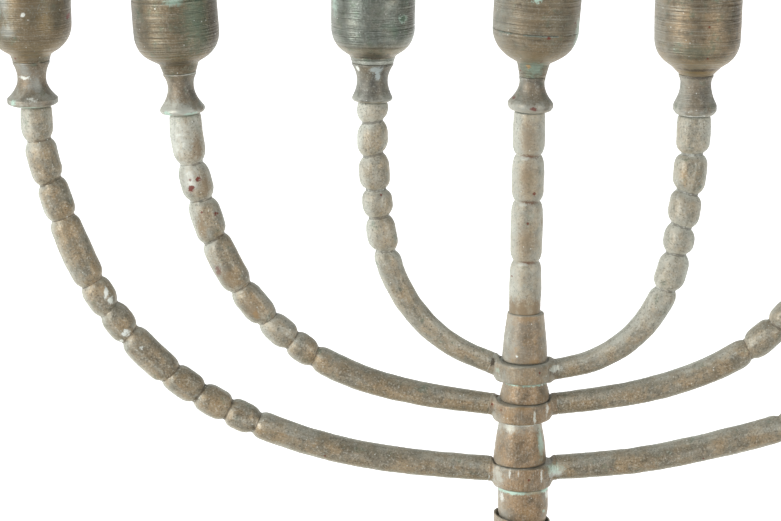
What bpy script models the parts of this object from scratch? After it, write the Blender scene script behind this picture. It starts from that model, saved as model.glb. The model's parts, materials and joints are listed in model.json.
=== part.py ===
"""Seven-branched brass menorah: three pairs of beaded arms that swivel on one tie rod.

Metres, +Z up. The origin is on the table under the stem. +X runs along the row of cups.
"""

import math
from collections import namedtuple

import bmesh
import bpy
import numpy as np
from mathutils import Matrix, Vector

# --- Driving dimensions ---------------------------------------------------------------
ARM_LEVEL = 0.150  # height of the lowest arms where they leave the stem
GAP = 0.0003  # clearance kept between two pieces that touch
HALF_GAP = GAP / 2

EDGE = 0.0005  # a broken edge
CUTTER_LENGTH = 0.0200  # long enough to run out of any piece that it cuts

ROD_R = 0.0025
ROD_FOOT_Z = 0.0225
ROD_HOLE_R = 0.0030
HUB_BORE_R = 0.0037
LOOSE_BORE_R = 0.0040  # the cones are strung loosely on the rod
SOCKET_R = 0.0035
SOCKET_DEPTH = 0.0130
ROD_IN_SOCKET = 0.0115

BASE_R = 0.0650
BASE_RIM_H = 0.0045
BASE_RIM_W = 0.0050
BASE_H = 0.0340
BASE_SEAT_R = 0.0140
BASE_DOME_R = 0.0570
BASE_DOME_FOOT_H = 0.0080
BASE_STEP_H = 0.0020  # the seat stands this far above the dome
BASE_WALL = 0.0025
BASE_WALL_IN = 0.0010  # how far the inner curve of the dome is moved towards the axis
BASE_CEILING = BASE_H - BASE_STEP_H - BASE_WALL

LUG_DEPTH = 0.0035
HUB_TOP_EDGE = 0.0005
HUB_FOOT_EDGE = 0.0007
TENON_R = 0.0012
TENON_LENGTH = 0.0018
TENON_HOLE_R = 0.0016
TENON_HOLE_DEPTH = 0.0021
TENON_STEP = 0.00027  # just short of the arm's shoulder, so that the shoulder is square

BOWL_RISE = 0.0300  # from the top of a bowl's tail to its rim
BOWL_FLARE = 0.0004
BOWL_WALL = 0.0017
FLOOR_RISE = 0.0046  # from the top of a bowl's tail to its inner floor
FLOOR_R = 0.0100
SHOULDER_POWER = 1.8  # 2 would make a bowl's shoulder a quarter ellipse
FLOOR_EDGE = 0.0015  # height of the slope between a bowl's floor and its wall
TAIL_EDGE = 0.0006
FLANGE_EDGE = 0.4  # height of the slope at a flange's foot, as a share of the flange's height
RECESS_R = 0.0044
RECESS_DEPTH = 0.0027

STUD_R = 0.0017
STUD_HOLE_R = 0.0021
STUD_HEAD_R = 0.0038
STUD_HEAD_H = 0.0023
STUD_REACH = 0.0055  # length of stud below the cup, inside the arm's end
ARM_HOLE_DEPTH = 0.0062
COLUMN_HOLE_R = 0.0025

GROOVE_SHARE = 0.78  # radius in the groove between two beads, over the beads' radius
SHOULDER_SHARE = 0.95  # radius at a bead's shoulder, over the bead's radius
TOP_SHARE = 0.90  # radius at an arm's top, over its first bead's radius
BEAD_SHOULDER = 0.0016
SHORT_BEAD = 0.0120  # beads longer than this are a little fatter
LONG_BEAD_SWELL = 4.0  # added radius, as a share of the bead's radius, for each metre over
PLAIN_STEP = 0.0100
STRAIGHT_TOP = 0.0060  # length of an arm's end that is in line with its cup
LOOK_AHEAD = 0.0020  # distance along a path over which its direction is read

BOWL_SIDES = 16
SPOOL_SIDES = 12
STEM_SIDES = 16
BASE_SIDES = 32
BASE_STEPS = 6
KNOP_STEPS = 8
STUD_SIDES = 8
WELD = 0.000005
MERGE = 0.00005
SMOOTH_ANGLE = 40.0
LUG_SIDES = 12
HEX_SIDES = 6

# --- The hubs and cones on the rod, from the arm level up ------------------------------
# bottom and top of the ring, its radius and sideways offset, its lugs' radius, and the
# radius kept free above it for the cone that stands on it
Hub = namedtuple("Hub", "bottom top radius offset lug_radius seat_radius")
HUBS = {
    "outer": Hub(-0.0053, 0.0022, 0.0088, 0.0, 0.0040, 0.00975),
    "middle": Hub(0.0160, 0.0222, 0.0086, -0.0006, 0.0035, 0.0084),
    "inner": Hub(0.0288, 0.0348, 0.0086, 0.0003, 0.0034, 0.0078),
}

# bottom and top radius, sideways offset and lean of each cone
Cone = namedtuple("Cone", "bottom_r top_r offset lean")
CONES = {
    "outer": Cone(0.00825, 0.0066, -0.0008, 0.0),
    "middle": Cone(0.0077, 0.0066, 0.0005, 0.0),
    "inner": Cone(0.0070, 0.0057, 0.0003, 0.8),
}
CONE_EDGE = 0.0024  # height of the rounding at a cone's foot
CONE_EDGE_IN = 0.0016
CONE_BULGE = 0.35  # share of the taper that is used up halfway to the top
INNER_CONE_TOP = 0.0500

COLUMN_OFFSET = 0.0002
COLUMN_LEAN = 0.8
COLUMN_TOP_GAP = 0.0006
COLUMN_BEADS = (0.0131, 0.0143, 0.0187, 0.0169)
COLUMN_BEAD_R = 0.0050

# --- The stem under the hubs -----------------------------------------------------------
BARREL_R = 0.0078
BARREL_OFFSET = 0.0003
BARREL_FOOT_R = 0.0052
BARREL_BOTTOM = -0.0180
BARREL_EDGE = 0.0050
COLLAR_R = 0.0088
COLLAR_BOTTOM = -0.0240
COLLAR_TOP = -0.0156
COLLAR_SPARE = 0.0030  # height turned above the slanting cut
COLLAR_DISH_R = 0.00825
COLLAR_SLANT = 9.0
SHAFT_BOTTOM_R = 0.0098
SHAFT_TOP_R = 0.0076
KNOP_R = 0.0135
KNOP_NECK_R = 0.0080
KNOP_TOP_Z = 0.0800
KNOP_BOTTOM_Z = 0.0580
FOOT_BOTTOM_R = 0.0130
FOOT_WAIST_R = 0.0072
FOOT_TOP_R = 0.0095
FOOT_BAND_H = 0.0025
FOOT_WAIST_DROP = 0.35  # depth of the waist below the foot's top, as a share of its height
FOOT_FLARE_RISE = 0.40  # where the flare begins above the bottom, as a share of the height

WASHER_R = 0.0075
WASHER_H = 0.0012
NUT_R = 0.0058
NUT_H = 0.0045
NUT_BORE_R = 0.0028

# --- The arms, measured from the stem's axis and the lowest arms' level ---------------------
# shift: how far the arm's top sits to the side of its cup's foot
# route: points (x, z) along the middle of the arm, from its lug up to its first beads
# beads: the lengths of the turned beads, from the cup down
# bead_r: radius of the first and the last bead; plain_r: radius below the beads and at the hub
Arm = namedtuple("Arm", "hub cup shift route beads bead_r plain_r")
OUTER_BEADS = (0.0104, 0.0132, 0.0120, 0.0217, 0.0101, 0.0102, 0.0174, 0.0109, 0.0103, 0.0096)
MIDDLE_BEADS = (0.0152, 0.0116, 0.0129, 0.0172, 0.0130, 0.0100, 0.0089)
ARMS = {
    "outer_left": Arm(
        "outer",
        "outer_left",
        0.0010,
        (
            (-0.0105, 0.0000),
            (-0.0454, 0.0037),
            (-0.0789, 0.0132),
            (-0.1089, 0.0307),
            (-0.1312, 0.0573),
            (-0.1441, 0.0899),
        ),
        OUTER_BEADS,
        (0.0049, 0.0047),
        (0.0044, 0.0039),
    ),
    "middle_left": Arm(
        "middle",
        "middle_left",
        0.0006,
        (
            (-0.0105, 0.0209),
            (-0.0429, 0.0268),
            (-0.0645, 0.0362),
            (-0.0789, 0.0481),
            (-0.0868, 0.0579),
            (-0.0947, 0.0731),
            (-0.0986, 0.0853),
        ),
        MIDDLE_BEADS,
        (0.0050, 0.0044),
        (0.0043, 0.0034),
    ),
    "inner_left": Arm(
        "inner",
        "inner_left",
        0.0001,
        (
            (-0.0105, 0.0342),
            (-0.0196, 0.0383),
            (-0.0329, 0.0495),
            (-0.0412, 0.0649),
            (-0.0447, 0.0821),
        ),
        (0.0060, 0.0102, 0.0108, 0.0085, 0.0107),
        (0.0048, 0.0046),
        (0.0041, 0.0033),
    ),
    "inner_right": Arm(
        "inner",
        "inner_right",
        -0.0001,
        (
            (0.0105, 0.0320),
            (0.0193, 0.0339),
            (0.0341, 0.0429),
            (0.0434, 0.0576),
            (0.0474, 0.0747),
        ),
        (0.0117, 0.0120, 0.0106, 0.0088, 0.0116),
        (0.0052, 0.0047),
        (0.0043, 0.0032),
    ),
    "middle_right": Arm(
        "middle",
        "middle_right",
        -0.0004,
        (
            (0.0105, 0.0209),
            (0.0371, 0.0250),
            (0.0561, 0.0311),
            (0.0692, 0.0383),
            (0.0776, 0.0454),
            (0.0862, 0.0559),
            (0.0944, 0.0720),
            (0.0986, 0.0853),
        ),
        (0.0147, 0.0104, 0.0117, 0.0156, 0.0113, 0.0087, 0.0114),
        (0.0050, 0.0046),
        (0.0043, 0.0034),
    ),
    "outer_right": Arm(
        "outer",
        "outer_right",
        -0.0010,
        (
            (0.0105, 0.0003),
            (0.0377, 0.0029),
            (0.0612, 0.0079),
            (0.0812, 0.0137),
            (0.1089, 0.0301),
            (0.1311, 0.0571),
            (0.1441, 0.0899),
        ),
        (*OUTER_BEADS[:-1], 0.0120),
        (0.0049, 0.0047),
        (0.0044, 0.0039),
    ),
}

# --- The cups: foot position and lean, then radii and heights above the foot -------------------
Cup = namedtuple(
    "Cup",
    "x z lean flange_r flange_h neck_r neck_h joint_r joint_h tail_r tail_h shoulder_h bowl_r",
)


def outer_cup(x, lean):
    """The cup of an outer arm."""
    return Cup(
        x, 0.1147, lean, 0.0077, 0.0024, 0.00435, 0.0082,
        0.0056, 0.0135, 0.0061, 0.0158, 0.0245, 0.0126,
    )


def middle_cup(x, lean):
    """The cup of a middle arm."""
    return Cup(
        x, 0.1123, lean, 0.00695, 0.0019, 0.00395, 0.0082,
        0.0050, 0.0124, 0.0059, 0.0156, 0.0240, 0.0129,
    )


CUPS = {
    "outer_left": outer_cup(-0.1491, -0.8),
    "middle_left": middle_cup(-0.1038, -3.7),
    "inner_left": Cup(
        -0.0465, 0.1160, 0.6, 0.0062, 0.0013, 0.0047, 0.0062,
        0.0063, 0.0117, 0.0069, 0.0142, 0.0220, 0.0126,
    ),
    "centre": Cup(
        0.0012, 0.1128, 3.3, 0.00695, 0.0032, 0.0038, 0.0090,
        0.0040, 0.0105, 0.0049, 0.0152, 0.0250, 0.0130,
    ),
    "inner_right": Cup(
        0.0510, 0.1118, 0.8, 0.0066, 0.0034, 0.0047, 0.0096,
        0.0053, 0.0123, 0.0075, 0.0150, 0.0230, 0.0130,
    ),
    "middle_right": middle_cup(0.1038, 3.7),
    "outer_right": outer_cup(0.1491, 0.8),
}

METALLIC = 0.85
COLOURS = {
    "stem": ((0.30, 0.22, 0.15, 1.0), 0.48),
    "hub": ((0.32, 0.24, 0.16, 1.0), 0.45),
    "arm": ((0.34, 0.29, 0.22, 1.0), 0.55),
    "spool": ((0.20, 0.18, 0.14, 1.0), 0.50),
    "bowl": ((0.22, 0.19, 0.13, 1.0), 0.42),
    "green_bowl": ((0.15, 0.17, 0.14, 1.0), 0.45),
    "base": ((0.24, 0.19, 0.13, 1.0), 0.45),
    "fixing": ((0.38, 0.28, 0.14, 1.0), 0.40),
}


# --- Scene helpers --------------------------------------------------------------------
def clear_scene():
    """Remove what the startup file holds."""
    for obj in list(bpy.data.objects):
        bpy.data.objects.remove(obj, do_unlink=True)


def new_collection(name):
    """A collection linked to the scene."""
    collection = bpy.data.collections.new(name)
    bpy.context.scene.collection.children.link(collection)
    return collection


def brass(name, colour, roughness):
    """A metallic material of one colour."""
    material = bpy.data.materials.new(name)
    material.use_nodes = True
    shader = material.node_tree.nodes["Principled BSDF"]
    shader.inputs["Base Color"].default_value = colour
    shader.inputs["Roughness"].default_value = roughness
    shader.inputs["Metallic"].default_value = METALLIC
    return material


def add_object(name, data, collection, material=None, parent=None):
    """An object holding this data, in a collection and under a parent."""
    obj = bpy.data.objects.new(name, data)
    collection.objects.link(obj)
    if material:
        data.materials.append(material)
    obj.parent = parent
    return obj


def closed_edges(count):
    """The edges that join points in a ring."""
    return [(i, (i + 1) % count) for i in range(count)]


def open_edges(count):
    """The edges that join points in a row."""
    return [(i, i + 1) for i in range(count - 1)]


def turned(name, outline, sides, collection, material=None, parent=None, solid=False):
    """A piece turned on a lathe from (radius, height) points, listed down its outer side.

    A solid piece's outline starts and ends on the axis. Any other outline is a closed ring.
    """
    edges = open_edges(len(outline)) if solid else closed_edges(len(outline))
    mesh = bpy.data.meshes.new(name)
    mesh.from_pydata([(r, 0.0, z) for r, z in outline], edges, [])
    obj = add_object(name, mesh, collection, material, parent)
    screw = obj.modifiers.new("lathe", "SCREW")
    screw.steps = sides
    screw.render_steps = sides
    screw.use_merge_vertices = True
    screw.merge_threshold = MERGE
    screw.use_smooth_shade = True
    return obj


def cylinder(name, radius, length, sides, collection):
    """A cylinder standing on its origin."""
    mesh = bpy.data.meshes.new(name)
    form = bmesh.new()
    bmesh.ops.create_cone(
        form,
        cap_ends=True,
        segments=sides,
        radius1=radius,
        radius2=radius,
        depth=length,
        matrix=Matrix.Translation((0.0, 0.0, length / 2)),
    )
    form.to_mesh(mesh)
    form.free()
    return add_object(name, mesh, collection)


def as_cutter(obj):
    """Mark a helper that only shapes other pieces."""
    obj.hide_render = True
    obj.display_type = "WIRE"
    return obj


def boolean(obj, helper, operation):
    """Cut or join an object with a helper."""
    modifier = obj.modifiers.new(helper.name, "BOOLEAN")
    modifier.operation = operation
    modifier.solver = "EXACT"
    modifier.object = helper


def aim(obj, start, direction):
    """Stand an object at a point with its +Z along a direction."""
    turn = Vector(direction).to_track_quat("Z", "Y").to_matrix().to_4x4()
    obj.matrix_local = Matrix.Translation(start) @ turn


def pivot(name, height, collection):
    """An empty on the stem's axis, about which an arm pair turns."""
    obj = bpy.data.objects.new(name, None)
    collection.objects.link(obj)
    obj.empty_display_size = 0.01
    obj.location = (0.0, 0.0, height)
    return obj


# --- Turned outlines --------------------------------------------------------------------
def rounded_foot(outer_r, inner_r, bottom, rise, steps):
    """The points of a quarter ellipse that runs in under a piece, down to its foot."""
    points = []
    for i in range(1, steps + 1):
        turn = math.pi / 2 * i / steps
        radius = inner_r + (outer_r - inner_r) * math.cos(turn)
        points.append((radius, bottom + rise * (1 - math.sin(turn))))
    return points


def cone_outline(bottom, top, bottom_r, top_r):
    """A tapered sleeve whose foot is rounded in."""
    bulge = bottom_r + (top_r - bottom_r) * CONE_BULGE
    return [
        (top_r - EDGE, top),
        (top_r, top - EDGE),
        (bulge, (bottom + top) / 2),
        (bottom_r, bottom + CONE_EDGE),
        *rounded_foot(bottom_r, bottom_r - CONE_EDGE_IN, bottom, CONE_EDGE, 2),
        (LOOSE_BORE_R, bottom),
        (LOOSE_BORE_R, top),
    ]


def base_curve(fraction):
    """(radius, height) on the base's dome: an S from the seat out to the rim."""
    radius = BASE_SEAT_R + (BASE_DOME_R - BASE_SEAT_R) * fraction
    fall = 0.5 - 0.5 * math.cos(math.pi * fraction)
    crown = BASE_H - BASE_STEP_H
    return radius, crown - (crown - BASE_DOME_FOOT_H) * fall


def base_outline():
    """The hollow domed base, with a flat seat above and a flat rim below."""
    outer = [base_curve(i / BASE_STEPS) for i in range(BASE_STEPS + 1)]
    inner = [(r - BASE_WALL_IN, z - BASE_WALL) for r, z in reversed(outer)]
    return [
        (ROD_HOLE_R, BASE_H),
        (BASE_SEAT_R, BASE_H),
        *outer,
        (BASE_R, BASE_RIM_H),
        (BASE_R, 0.0),
        (BASE_R - BASE_RIM_W, 0.0),
        (BASE_R - BASE_RIM_W, BASE_RIM_H - BASE_WALL_IN),
        *inner,
        (ROD_HOLE_R, BASE_CEILING),
    ]


def foot_outline():
    """A trumpet foot under the knop."""
    bottom = BASE_H + HALF_GAP
    top = KNOP_BOTTOM_Z - HALF_GAP
    height = top - bottom
    return [
        (FOOT_TOP_R, top),
        (FOOT_TOP_R, top - FOOT_BAND_H),
        (FOOT_WAIST_R, top - height * FOOT_WAIST_DROP),
        (FOOT_WAIST_R + EDGE * 2, bottom + height * FOOT_FLARE_RISE),
        (FOOT_BOTTOM_R - EDGE * 2, bottom + FOOT_BAND_H + EDGE * 2),
        (FOOT_BOTTOM_R, bottom + FOOT_BAND_H),
        (FOOT_BOTTOM_R, bottom),
        (LOOSE_BORE_R, bottom),
        (LOOSE_BORE_R, top),
    ]


def knop_outline():
    """A ball with flat ends."""
    bottom = KNOP_BOTTOM_Z + HALF_GAP
    top = KNOP_TOP_Z - HALF_GAP
    middle = (bottom + top) / 2
    half = (top - bottom) / 2
    ball = []
    for i in range(KNOP_STEPS + 1):
        height = half * math.cos(math.pi * i / KNOP_STEPS)
        swell = math.sin(math.pi * i / KNOP_STEPS)
        ball.append((KNOP_NECK_R + (KNOP_R - KNOP_NECK_R) * swell, middle + height))
    return [*ball, (LOOSE_BORE_R, bottom), (LOOSE_BORE_R, top)]


def barrel_outline():
    """The barrel under the lowest hub, with a rounded lower end."""
    top = HUBS["outer"].bottom - HALF_GAP
    return [
        (BARREL_R, top),
        (BARREL_R, BARREL_BOTTOM + BARREL_EDGE),
        *rounded_foot(BARREL_R, BARREL_FOOT_R, BARREL_BOTTOM, BARREL_EDGE, 4),
        (LOOSE_BORE_R, BARREL_BOTTOM),
        (LOOSE_BORE_R, top),
    ]


def collar_outline():
    """A dished collar that holds the barrel's rounded end."""
    top = COLLAR_TOP + COLLAR_SPARE
    floor = BARREL_BOTTOM - GAP
    return [
        (COLLAR_R, top),
        (COLLAR_R, COLLAR_BOTTOM + EDGE * 2),
        (COLLAR_R - EDGE * 2, COLLAR_BOTTOM),
        (LOOSE_BORE_R, COLLAR_BOTTOM),
        (LOOSE_BORE_R, floor),
        (COLLAR_DISH_R, floor),
        (COLLAR_DISH_R, top),
    ]


def shaft_outline():
    """The tapered shaft between the knop and the collar."""
    bottom = KNOP_TOP_Z + HALF_GAP - ARM_LEVEL
    top = COLLAR_BOTTOM - GAP
    return cone_outline(bottom, top, SHAFT_BOTTOM_R, SHAFT_TOP_R)


def column_outline(height):
    """The beaded centre column, with a hole for the cup's stud above and a socket below."""
    outline = [
        (0.0, height - ARM_HOLE_DEPTH),
        (COLUMN_HOLE_R, height - ARM_HOLE_DEPTH),
        (COLUMN_HOLE_R, height),
    ]
    shoulder = COLUMN_BEAD_R * SHOULDER_SHARE
    groove = COLUMN_BEAD_R * GROOVE_SHARE
    z = height
    outline.append((shoulder, z))
    for length in COLUMN_BEADS[:-1]:
        outline.append((COLUMN_BEAD_R, z - length / 2))
        outline.append((shoulder, z - length + BEAD_SHOULDER))
        outline.append((groove, z - length))
        z -= length
        outline.append((shoulder, z - BEAD_SHOULDER))
    return [
        *outline,
        (COLUMN_BEAD_R, z / 2),
        (shoulder, 0.0),
        (SOCKET_R, 0.0),
        (SOCKET_R, SOCKET_DEPTH),
        (0.0, SOCKET_DEPTH),
    ]


def cove(cup, end_h, end_r, shares):
    """Points of the hollow curve from a spool's neck to one of its ends."""
    points = []
    for share in shares:
        height = cup.neck_h + (end_h - cup.neck_h) * share
        points.append((cup.neck_r + (end_r - cup.neck_r) * share**2, height))
    return points


def spool_outline(cup):
    """The waisted spool between an arm and a bowl, bored for the stud."""
    top = cup.joint_h - HALF_GAP
    return [
        *cove(cup, top, cup.joint_r, (1.0, 0.6)),
        (cup.neck_r, cup.neck_h),
        *cove(cup, cup.flange_h, cup.flange_r, (0.35, 0.7, 1.0)),
        (cup.flange_r, cup.flange_h * FLANGE_EDGE),
        (cup.flange_r - EDGE * 1.5, 0.0),
        (STUD_HOLE_R, 0.0),
        (STUD_HOLE_R, top),
    ]


def bowl_outline(cup):
    """The candle bowl: open above, with a flat floor recessed for the stud's head."""
    rim = cup.tail_h + BOWL_RISE
    floor = cup.tail_h + FLOOR_RISE
    bottom = cup.joint_h + HALF_GAP
    inner_r = cup.bowl_r - BOWL_WALL
    shoulder = []
    for share in (0.62, 0.34, 0.14, 0.03):
        swell = (1 - (1 - share) ** SHOULDER_POWER) ** (1 / SHOULDER_POWER)
        radius = cup.tail_r + (cup.bowl_r - cup.tail_r) * swell
        shoulder.append((radius, cup.tail_h + (cup.shoulder_h - cup.tail_h) * share))
    return [
        (cup.bowl_r + BOWL_FLARE, rim),
        (cup.bowl_r, cup.shoulder_h),
        *shoulder,
        (cup.tail_r, cup.tail_h - TAIL_EDGE),
        (cup.joint_r, bottom),
        (STUD_HOLE_R, bottom),
        (STUD_HOLE_R, floor - RECESS_DEPTH),
        (RECESS_R, floor - RECESS_DEPTH),
        (RECESS_R, floor),
        (FLOOR_R, floor),
        (inner_r, floor + FLOOR_EDGE),
        (inner_r, rim),
    ]


def stud_outline(cup):
    """The headed stud that holds a bowl and spool on an arm's end."""
    head = cup.tail_h + FLOOR_RISE - RECESS_DEPTH + HALF_GAP
    return [
        (0.0, head + STUD_HEAD_H),
        (STUD_HEAD_R, head + STUD_HEAD_H),
        (STUD_HEAD_R, head),
        (STUD_R, head),
        (STUD_R, -STUD_REACH),
        (0.0, -STUD_REACH),
    ]


# --- Arms -------------------------------------------------------------------------------
def cubic_slopes(values, knots):
    """The slopes of a natural cubic spline through values at knots."""
    count = len(knots)
    gaps = np.diff(knots)
    system = np.zeros((count, count))
    target = np.zeros(count)
    system[0, :2] = 2.0, 1.0
    target[0] = 3.0 * (values[1] - values[0]) / gaps[0]
    system[-1, -2:] = 1.0, 2.0
    target[-1] = 3.0 * (values[-1] - values[-2]) / gaps[-1]
    for i in range(1, count - 1):
        system[i, i - 1] = gaps[i]
        system[i, i] = 2.0 * (gaps[i - 1] + gaps[i])
        system[i, i + 1] = gaps[i - 1]
        before = gaps[i] / gaps[i - 1] * (values[i] - values[i - 1])
        after = gaps[i - 1] / gaps[i] * (values[i + 1] - values[i])
        target[i] = 3.0 * (before + after)
    return np.linalg.solve(system, target)


class Route:
    """A smooth path through points, read by distance from its first point."""

    def __init__(self, points, samples=600):
        points = np.array(points, float)
        steps = np.linalg.norm(np.diff(points, axis=0), axis=1)
        knots = np.concatenate([[0.0], np.cumsum(steps)])
        t = np.linspace(0.0, knots[-1], samples)
        piece = np.clip(np.searchsorted(knots, t, "right") - 1, 0, len(steps) - 1)
        width = steps[piece]
        u = (t - knots[piece]) / width
        columns = []
        for values in points.T:
            slope = cubic_slopes(values, knots)
            columns.append(
                (1 + 2 * u) * (1 - u) ** 2 * values[piece]
                + u * (1 - u) ** 2 * width * slope[piece]
                + u**2 * (3 - 2 * u) * values[piece + 1]
                + u**2 * (u - 1) * width * slope[piece + 1]
            )
        self.points = np.column_stack(columns)
        runs = np.linalg.norm(np.diff(self.points, axis=0), axis=1)
        self.distance = np.concatenate([[0.0], np.cumsum(runs)])
        self.length = self.distance[-1]

    def at(self, distance):
        """The (x, z) point at a distance along the path."""
        return [float(np.interp(distance, self.distance, c)) for c in self.points.T]


def cup_axis(cup):
    """The (x, z) direction of a cup's axis."""
    lean = math.radians(cup.lean)
    return np.array([math.sin(lean), math.cos(lean)])


def arm_route(arm):
    """The arm's path from its lug to just under its cup, ending square to the cup."""
    cup = CUPS[arm.cup]
    foot = np.array([cup.x + arm.shift, cup.z]) - cup_axis(cup) * GAP
    return Route([*arm.route, foot - cup_axis(cup) * STRAIGHT_TOP, foot])


def route_start(route):
    """The first point of a route and its direction there."""
    start = np.array(route.at(0.0))
    outward = np.array(route.at(LOOK_AHEAD)) - start
    return start, outward / np.linalg.norm(outward)


def arm_stations(arm, length):
    """(distance from the lug, radius) pairs along the arm, from its lug to its cup."""
    count = len(arm.beads)
    stations = []
    s = length
    for i, bead in enumerate(arm.beads):
        radius = arm.bead_r[0] + (arm.bead_r[1] - arm.bead_r[0]) * i / (count - 1)
        radius *= 1.0 + LONG_BEAD_SWELL * max(0.0, bead - SHORT_BEAD)
        stations.append((s, radius * (GROOVE_SHARE if i else TOP_SHARE)))
        if i:
            stations.append((s - BEAD_SHOULDER, radius * SHOULDER_SHARE))
        stations.append((s - bead / 2, radius))
        stations.append((s - bead + BEAD_SHOULDER, radius * SHOULDER_SHARE))
        s -= bead
    stations.append((s, arm.plain_r[0] * GROOVE_SHARE))
    plain = s - BEAD_SHOULDER
    steps = round(plain / PLAIN_STEP)
    for i in range(steps):
        share = i / steps
        radius = arm.plain_r[0] + (arm.plain_r[1] - arm.plain_r[0]) * share
        stations.append((plain * (1 - share), radius))
    stations.append((GAP, arm.plain_r[1]))
    return stations[::-1]


def make_arm(name, arm, collection, cutters, material, parent):
    """A beaded arm with a tenon for its hub and a hole for its cup's stud."""
    route = arm_route(arm)
    drop = HUBS[arm.hub].bottom
    start, outward = route_start(route)
    points = [(start - outward * TENON_LENGTH, TENON_R), (start + outward * TENON_STEP, TENON_R)]
    points += [(route.at(s), radius) for s, radius in arm_stations(arm, route.length)]
    data = bpy.data.curves.new(name, "CURVE")
    data.dimensions = "3D"
    data.bevel_depth = 1.0
    data.bevel_resolution = 2
    data.use_fill_caps = True
    spline = data.splines.new("POLY")
    spline.points.add(len(points) - 1)
    for point, ((x, z), radius) in zip(spline.points, points):
        point.co = (x, 0.0, z - drop, 1.0)
        point.radius = radius
    curve = add_object(name + "_curve", data, collection)
    obj = add_object(name, mesh_of(curve), collection, material, parent)
    cup = CUPS[arm.cup]
    hole = cylinder(name + "_hole", STUD_HOLE_R, CUTTER_LENGTH, STUD_SIDES, cutters)
    hole.parent = parent
    axis = cup_axis(cup)
    foot = np.array([cup.x, cup.z]) - axis * ARM_HOLE_DEPTH
    aim(hole, (foot[0], 0.0, foot[1] - drop), (axis[0], 0.0, axis[1]))
    boolean(obj, as_cutter(hole), "DIFFERENCE")
    return obj


def mesh_of(curve):
    """The curve's mesh with its caps welded on; the curve itself is removed."""
    graph = bpy.context.evaluated_depsgraph_get()
    mesh = bpy.data.meshes.new_from_object(curve.evaluated_get(graph), depsgraph=graph)
    form = bmesh.new()
    form.from_mesh(mesh)
    bmesh.ops.remove_doubles(form, verts=form.verts, dist=WELD)
    form.to_mesh(mesh)
    form.free()
    bpy.data.objects.remove(curve)
    return mesh


# --- Hubs -------------------------------------------------------------------------------
def hub_outline(hub):
    """A hub's ring, measured from its underside."""
    height = hub.top - hub.bottom
    return [
        (hub.radius - HUB_TOP_EDGE, height),
        (hub.radius, height - HUB_TOP_EDGE * 2),
        (hub.radius, HUB_FOOT_EDGE * 2),
        (hub.radius - HUB_FOOT_EDGE, 0.0),
        (HUB_BORE_R, 0.0),
        (HUB_BORE_R, height),
    ]


def make_hub(name, hub, arms, collection, cutters, material, parent):
    """A ring with two lugs, each bored for an arm's tenon, and a bore for the rod."""
    obj = turned(name, hub_outline(hub), STEM_SIDES, collection, material, parent)
    obj.location.x = hub.offset
    for arm_name, arm in arms.items():
        start, outward = route_start(arm_route(arm))
        place = (start[0], 0.0, start[1] - hub.bottom)
        inward = (-outward[0], 0.0, -outward[1])
        lug = cylinder(arm_name + "_lug", hub.lug_radius, LUG_DEPTH, LUG_SIDES, cutters)
        bore = cylinder(arm_name + "_socket", TENON_HOLE_R, CUTTER_LENGTH, STUD_SIDES, cutters)
        for helper in (lug, bore):
            helper.parent = parent
        aim(lug, place, inward)
        deep = start - outward * TENON_HOLE_DEPTH
        aim(bore, (deep[0], 0.0, deep[1] - hub.bottom), (outward[0], 0.0, outward[1]))
        boolean(obj, as_cutter(lug), "UNION")
        boolean(obj, as_cutter(bore), "DIFFERENCE")
    seat = cylinder(name + "_seat", hub.seat_radius, CUTTER_LENGTH, BASE_SIDES, cutters)
    seat.parent = parent
    seat.location.z = hub.top - hub.bottom
    boolean(obj, as_cutter(seat), "DIFFERENCE")
    return obj


# --- Cups -------------------------------------------------------------------------------
def make_cup(name, cup, collection, materials, parent, drop):
    """A bowl and its spool on the end of an arm, held by a stud."""
    bowl_material = materials["green_bowl" if name == "inner_left" else "bowl"]
    parts = [
        turned(name + "_spool", spool_outline(cup), SPOOL_SIDES, collection, materials["spool"]),
        turned(name + "_bowl", bowl_outline(cup), BOWL_SIDES, collection, bowl_material),
        turned(
            name + "_stud",
            stud_outline(cup),
            STUD_SIDES,
            collection,
            materials["fixing"],
            solid=True,
        ),
    ]
    for part in parts:
        part.parent = parent
        part.location = (cup.x, 0.0, cup.z - drop)
        part.rotation_euler = (0.0, math.radians(cup.lean), 0.0)


# --- Stem -------------------------------------------------------------------------------
def make_cones(collection, material):
    """The three cones that space the hubs on the rod."""
    tops = {
        "outer": HUBS["middle"].bottom - HALF_GAP,
        "middle": HUBS["inner"].bottom - HALF_GAP,
        "inner": INNER_CONE_TOP,
    }
    for name, cone in CONES.items():
        bottom = HUBS[name].top + (GAP if cone.lean else HALF_GAP)
        height = tops[name] - bottom
        outline = cone_outline(0.0, height, cone.bottom_r, cone.top_r)
        obj = turned(name + "_cone", outline, STEM_SIDES, collection, material)
        obj.location = (cone.offset, 0.0, ARM_LEVEL + bottom)
        obj.rotation_euler.y = math.radians(cone.lean)


def make_column(collection, material):
    """The beaded column that stands on the inner cone and clamps the rod."""
    bottom = INNER_CONE_TOP + GAP * 2
    height = CUPS["centre"].z - COLUMN_TOP_GAP - bottom
    outline = column_outline(height)
    obj = turned("centre_column", outline, STEM_SIDES, collection, material, solid=True)
    obj.location = (COLUMN_OFFSET, 0.0, ARM_LEVEL + bottom)
    obj.rotation_euler.y = math.radians(COLUMN_LEAN)


def make_collar(collection, cutters, material):
    """The collar under the barrel, its rim cut on a slant."""
    obj = turned("stem_collar", collar_outline(), STEM_SIDES, collection, material)
    obj.location.z = ARM_LEVEL
    cut = cylinder("collar_slant", CUTTER_LENGTH, CUTTER_LENGTH, BASE_SIDES, cutters)
    slant = math.radians(COLLAR_SLANT)
    cut.location.z = ARM_LEVEL + COLLAR_TOP
    cut.rotation_euler.y = slant
    boolean(obj, as_cutter(cut), "DIFFERENCE")


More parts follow.
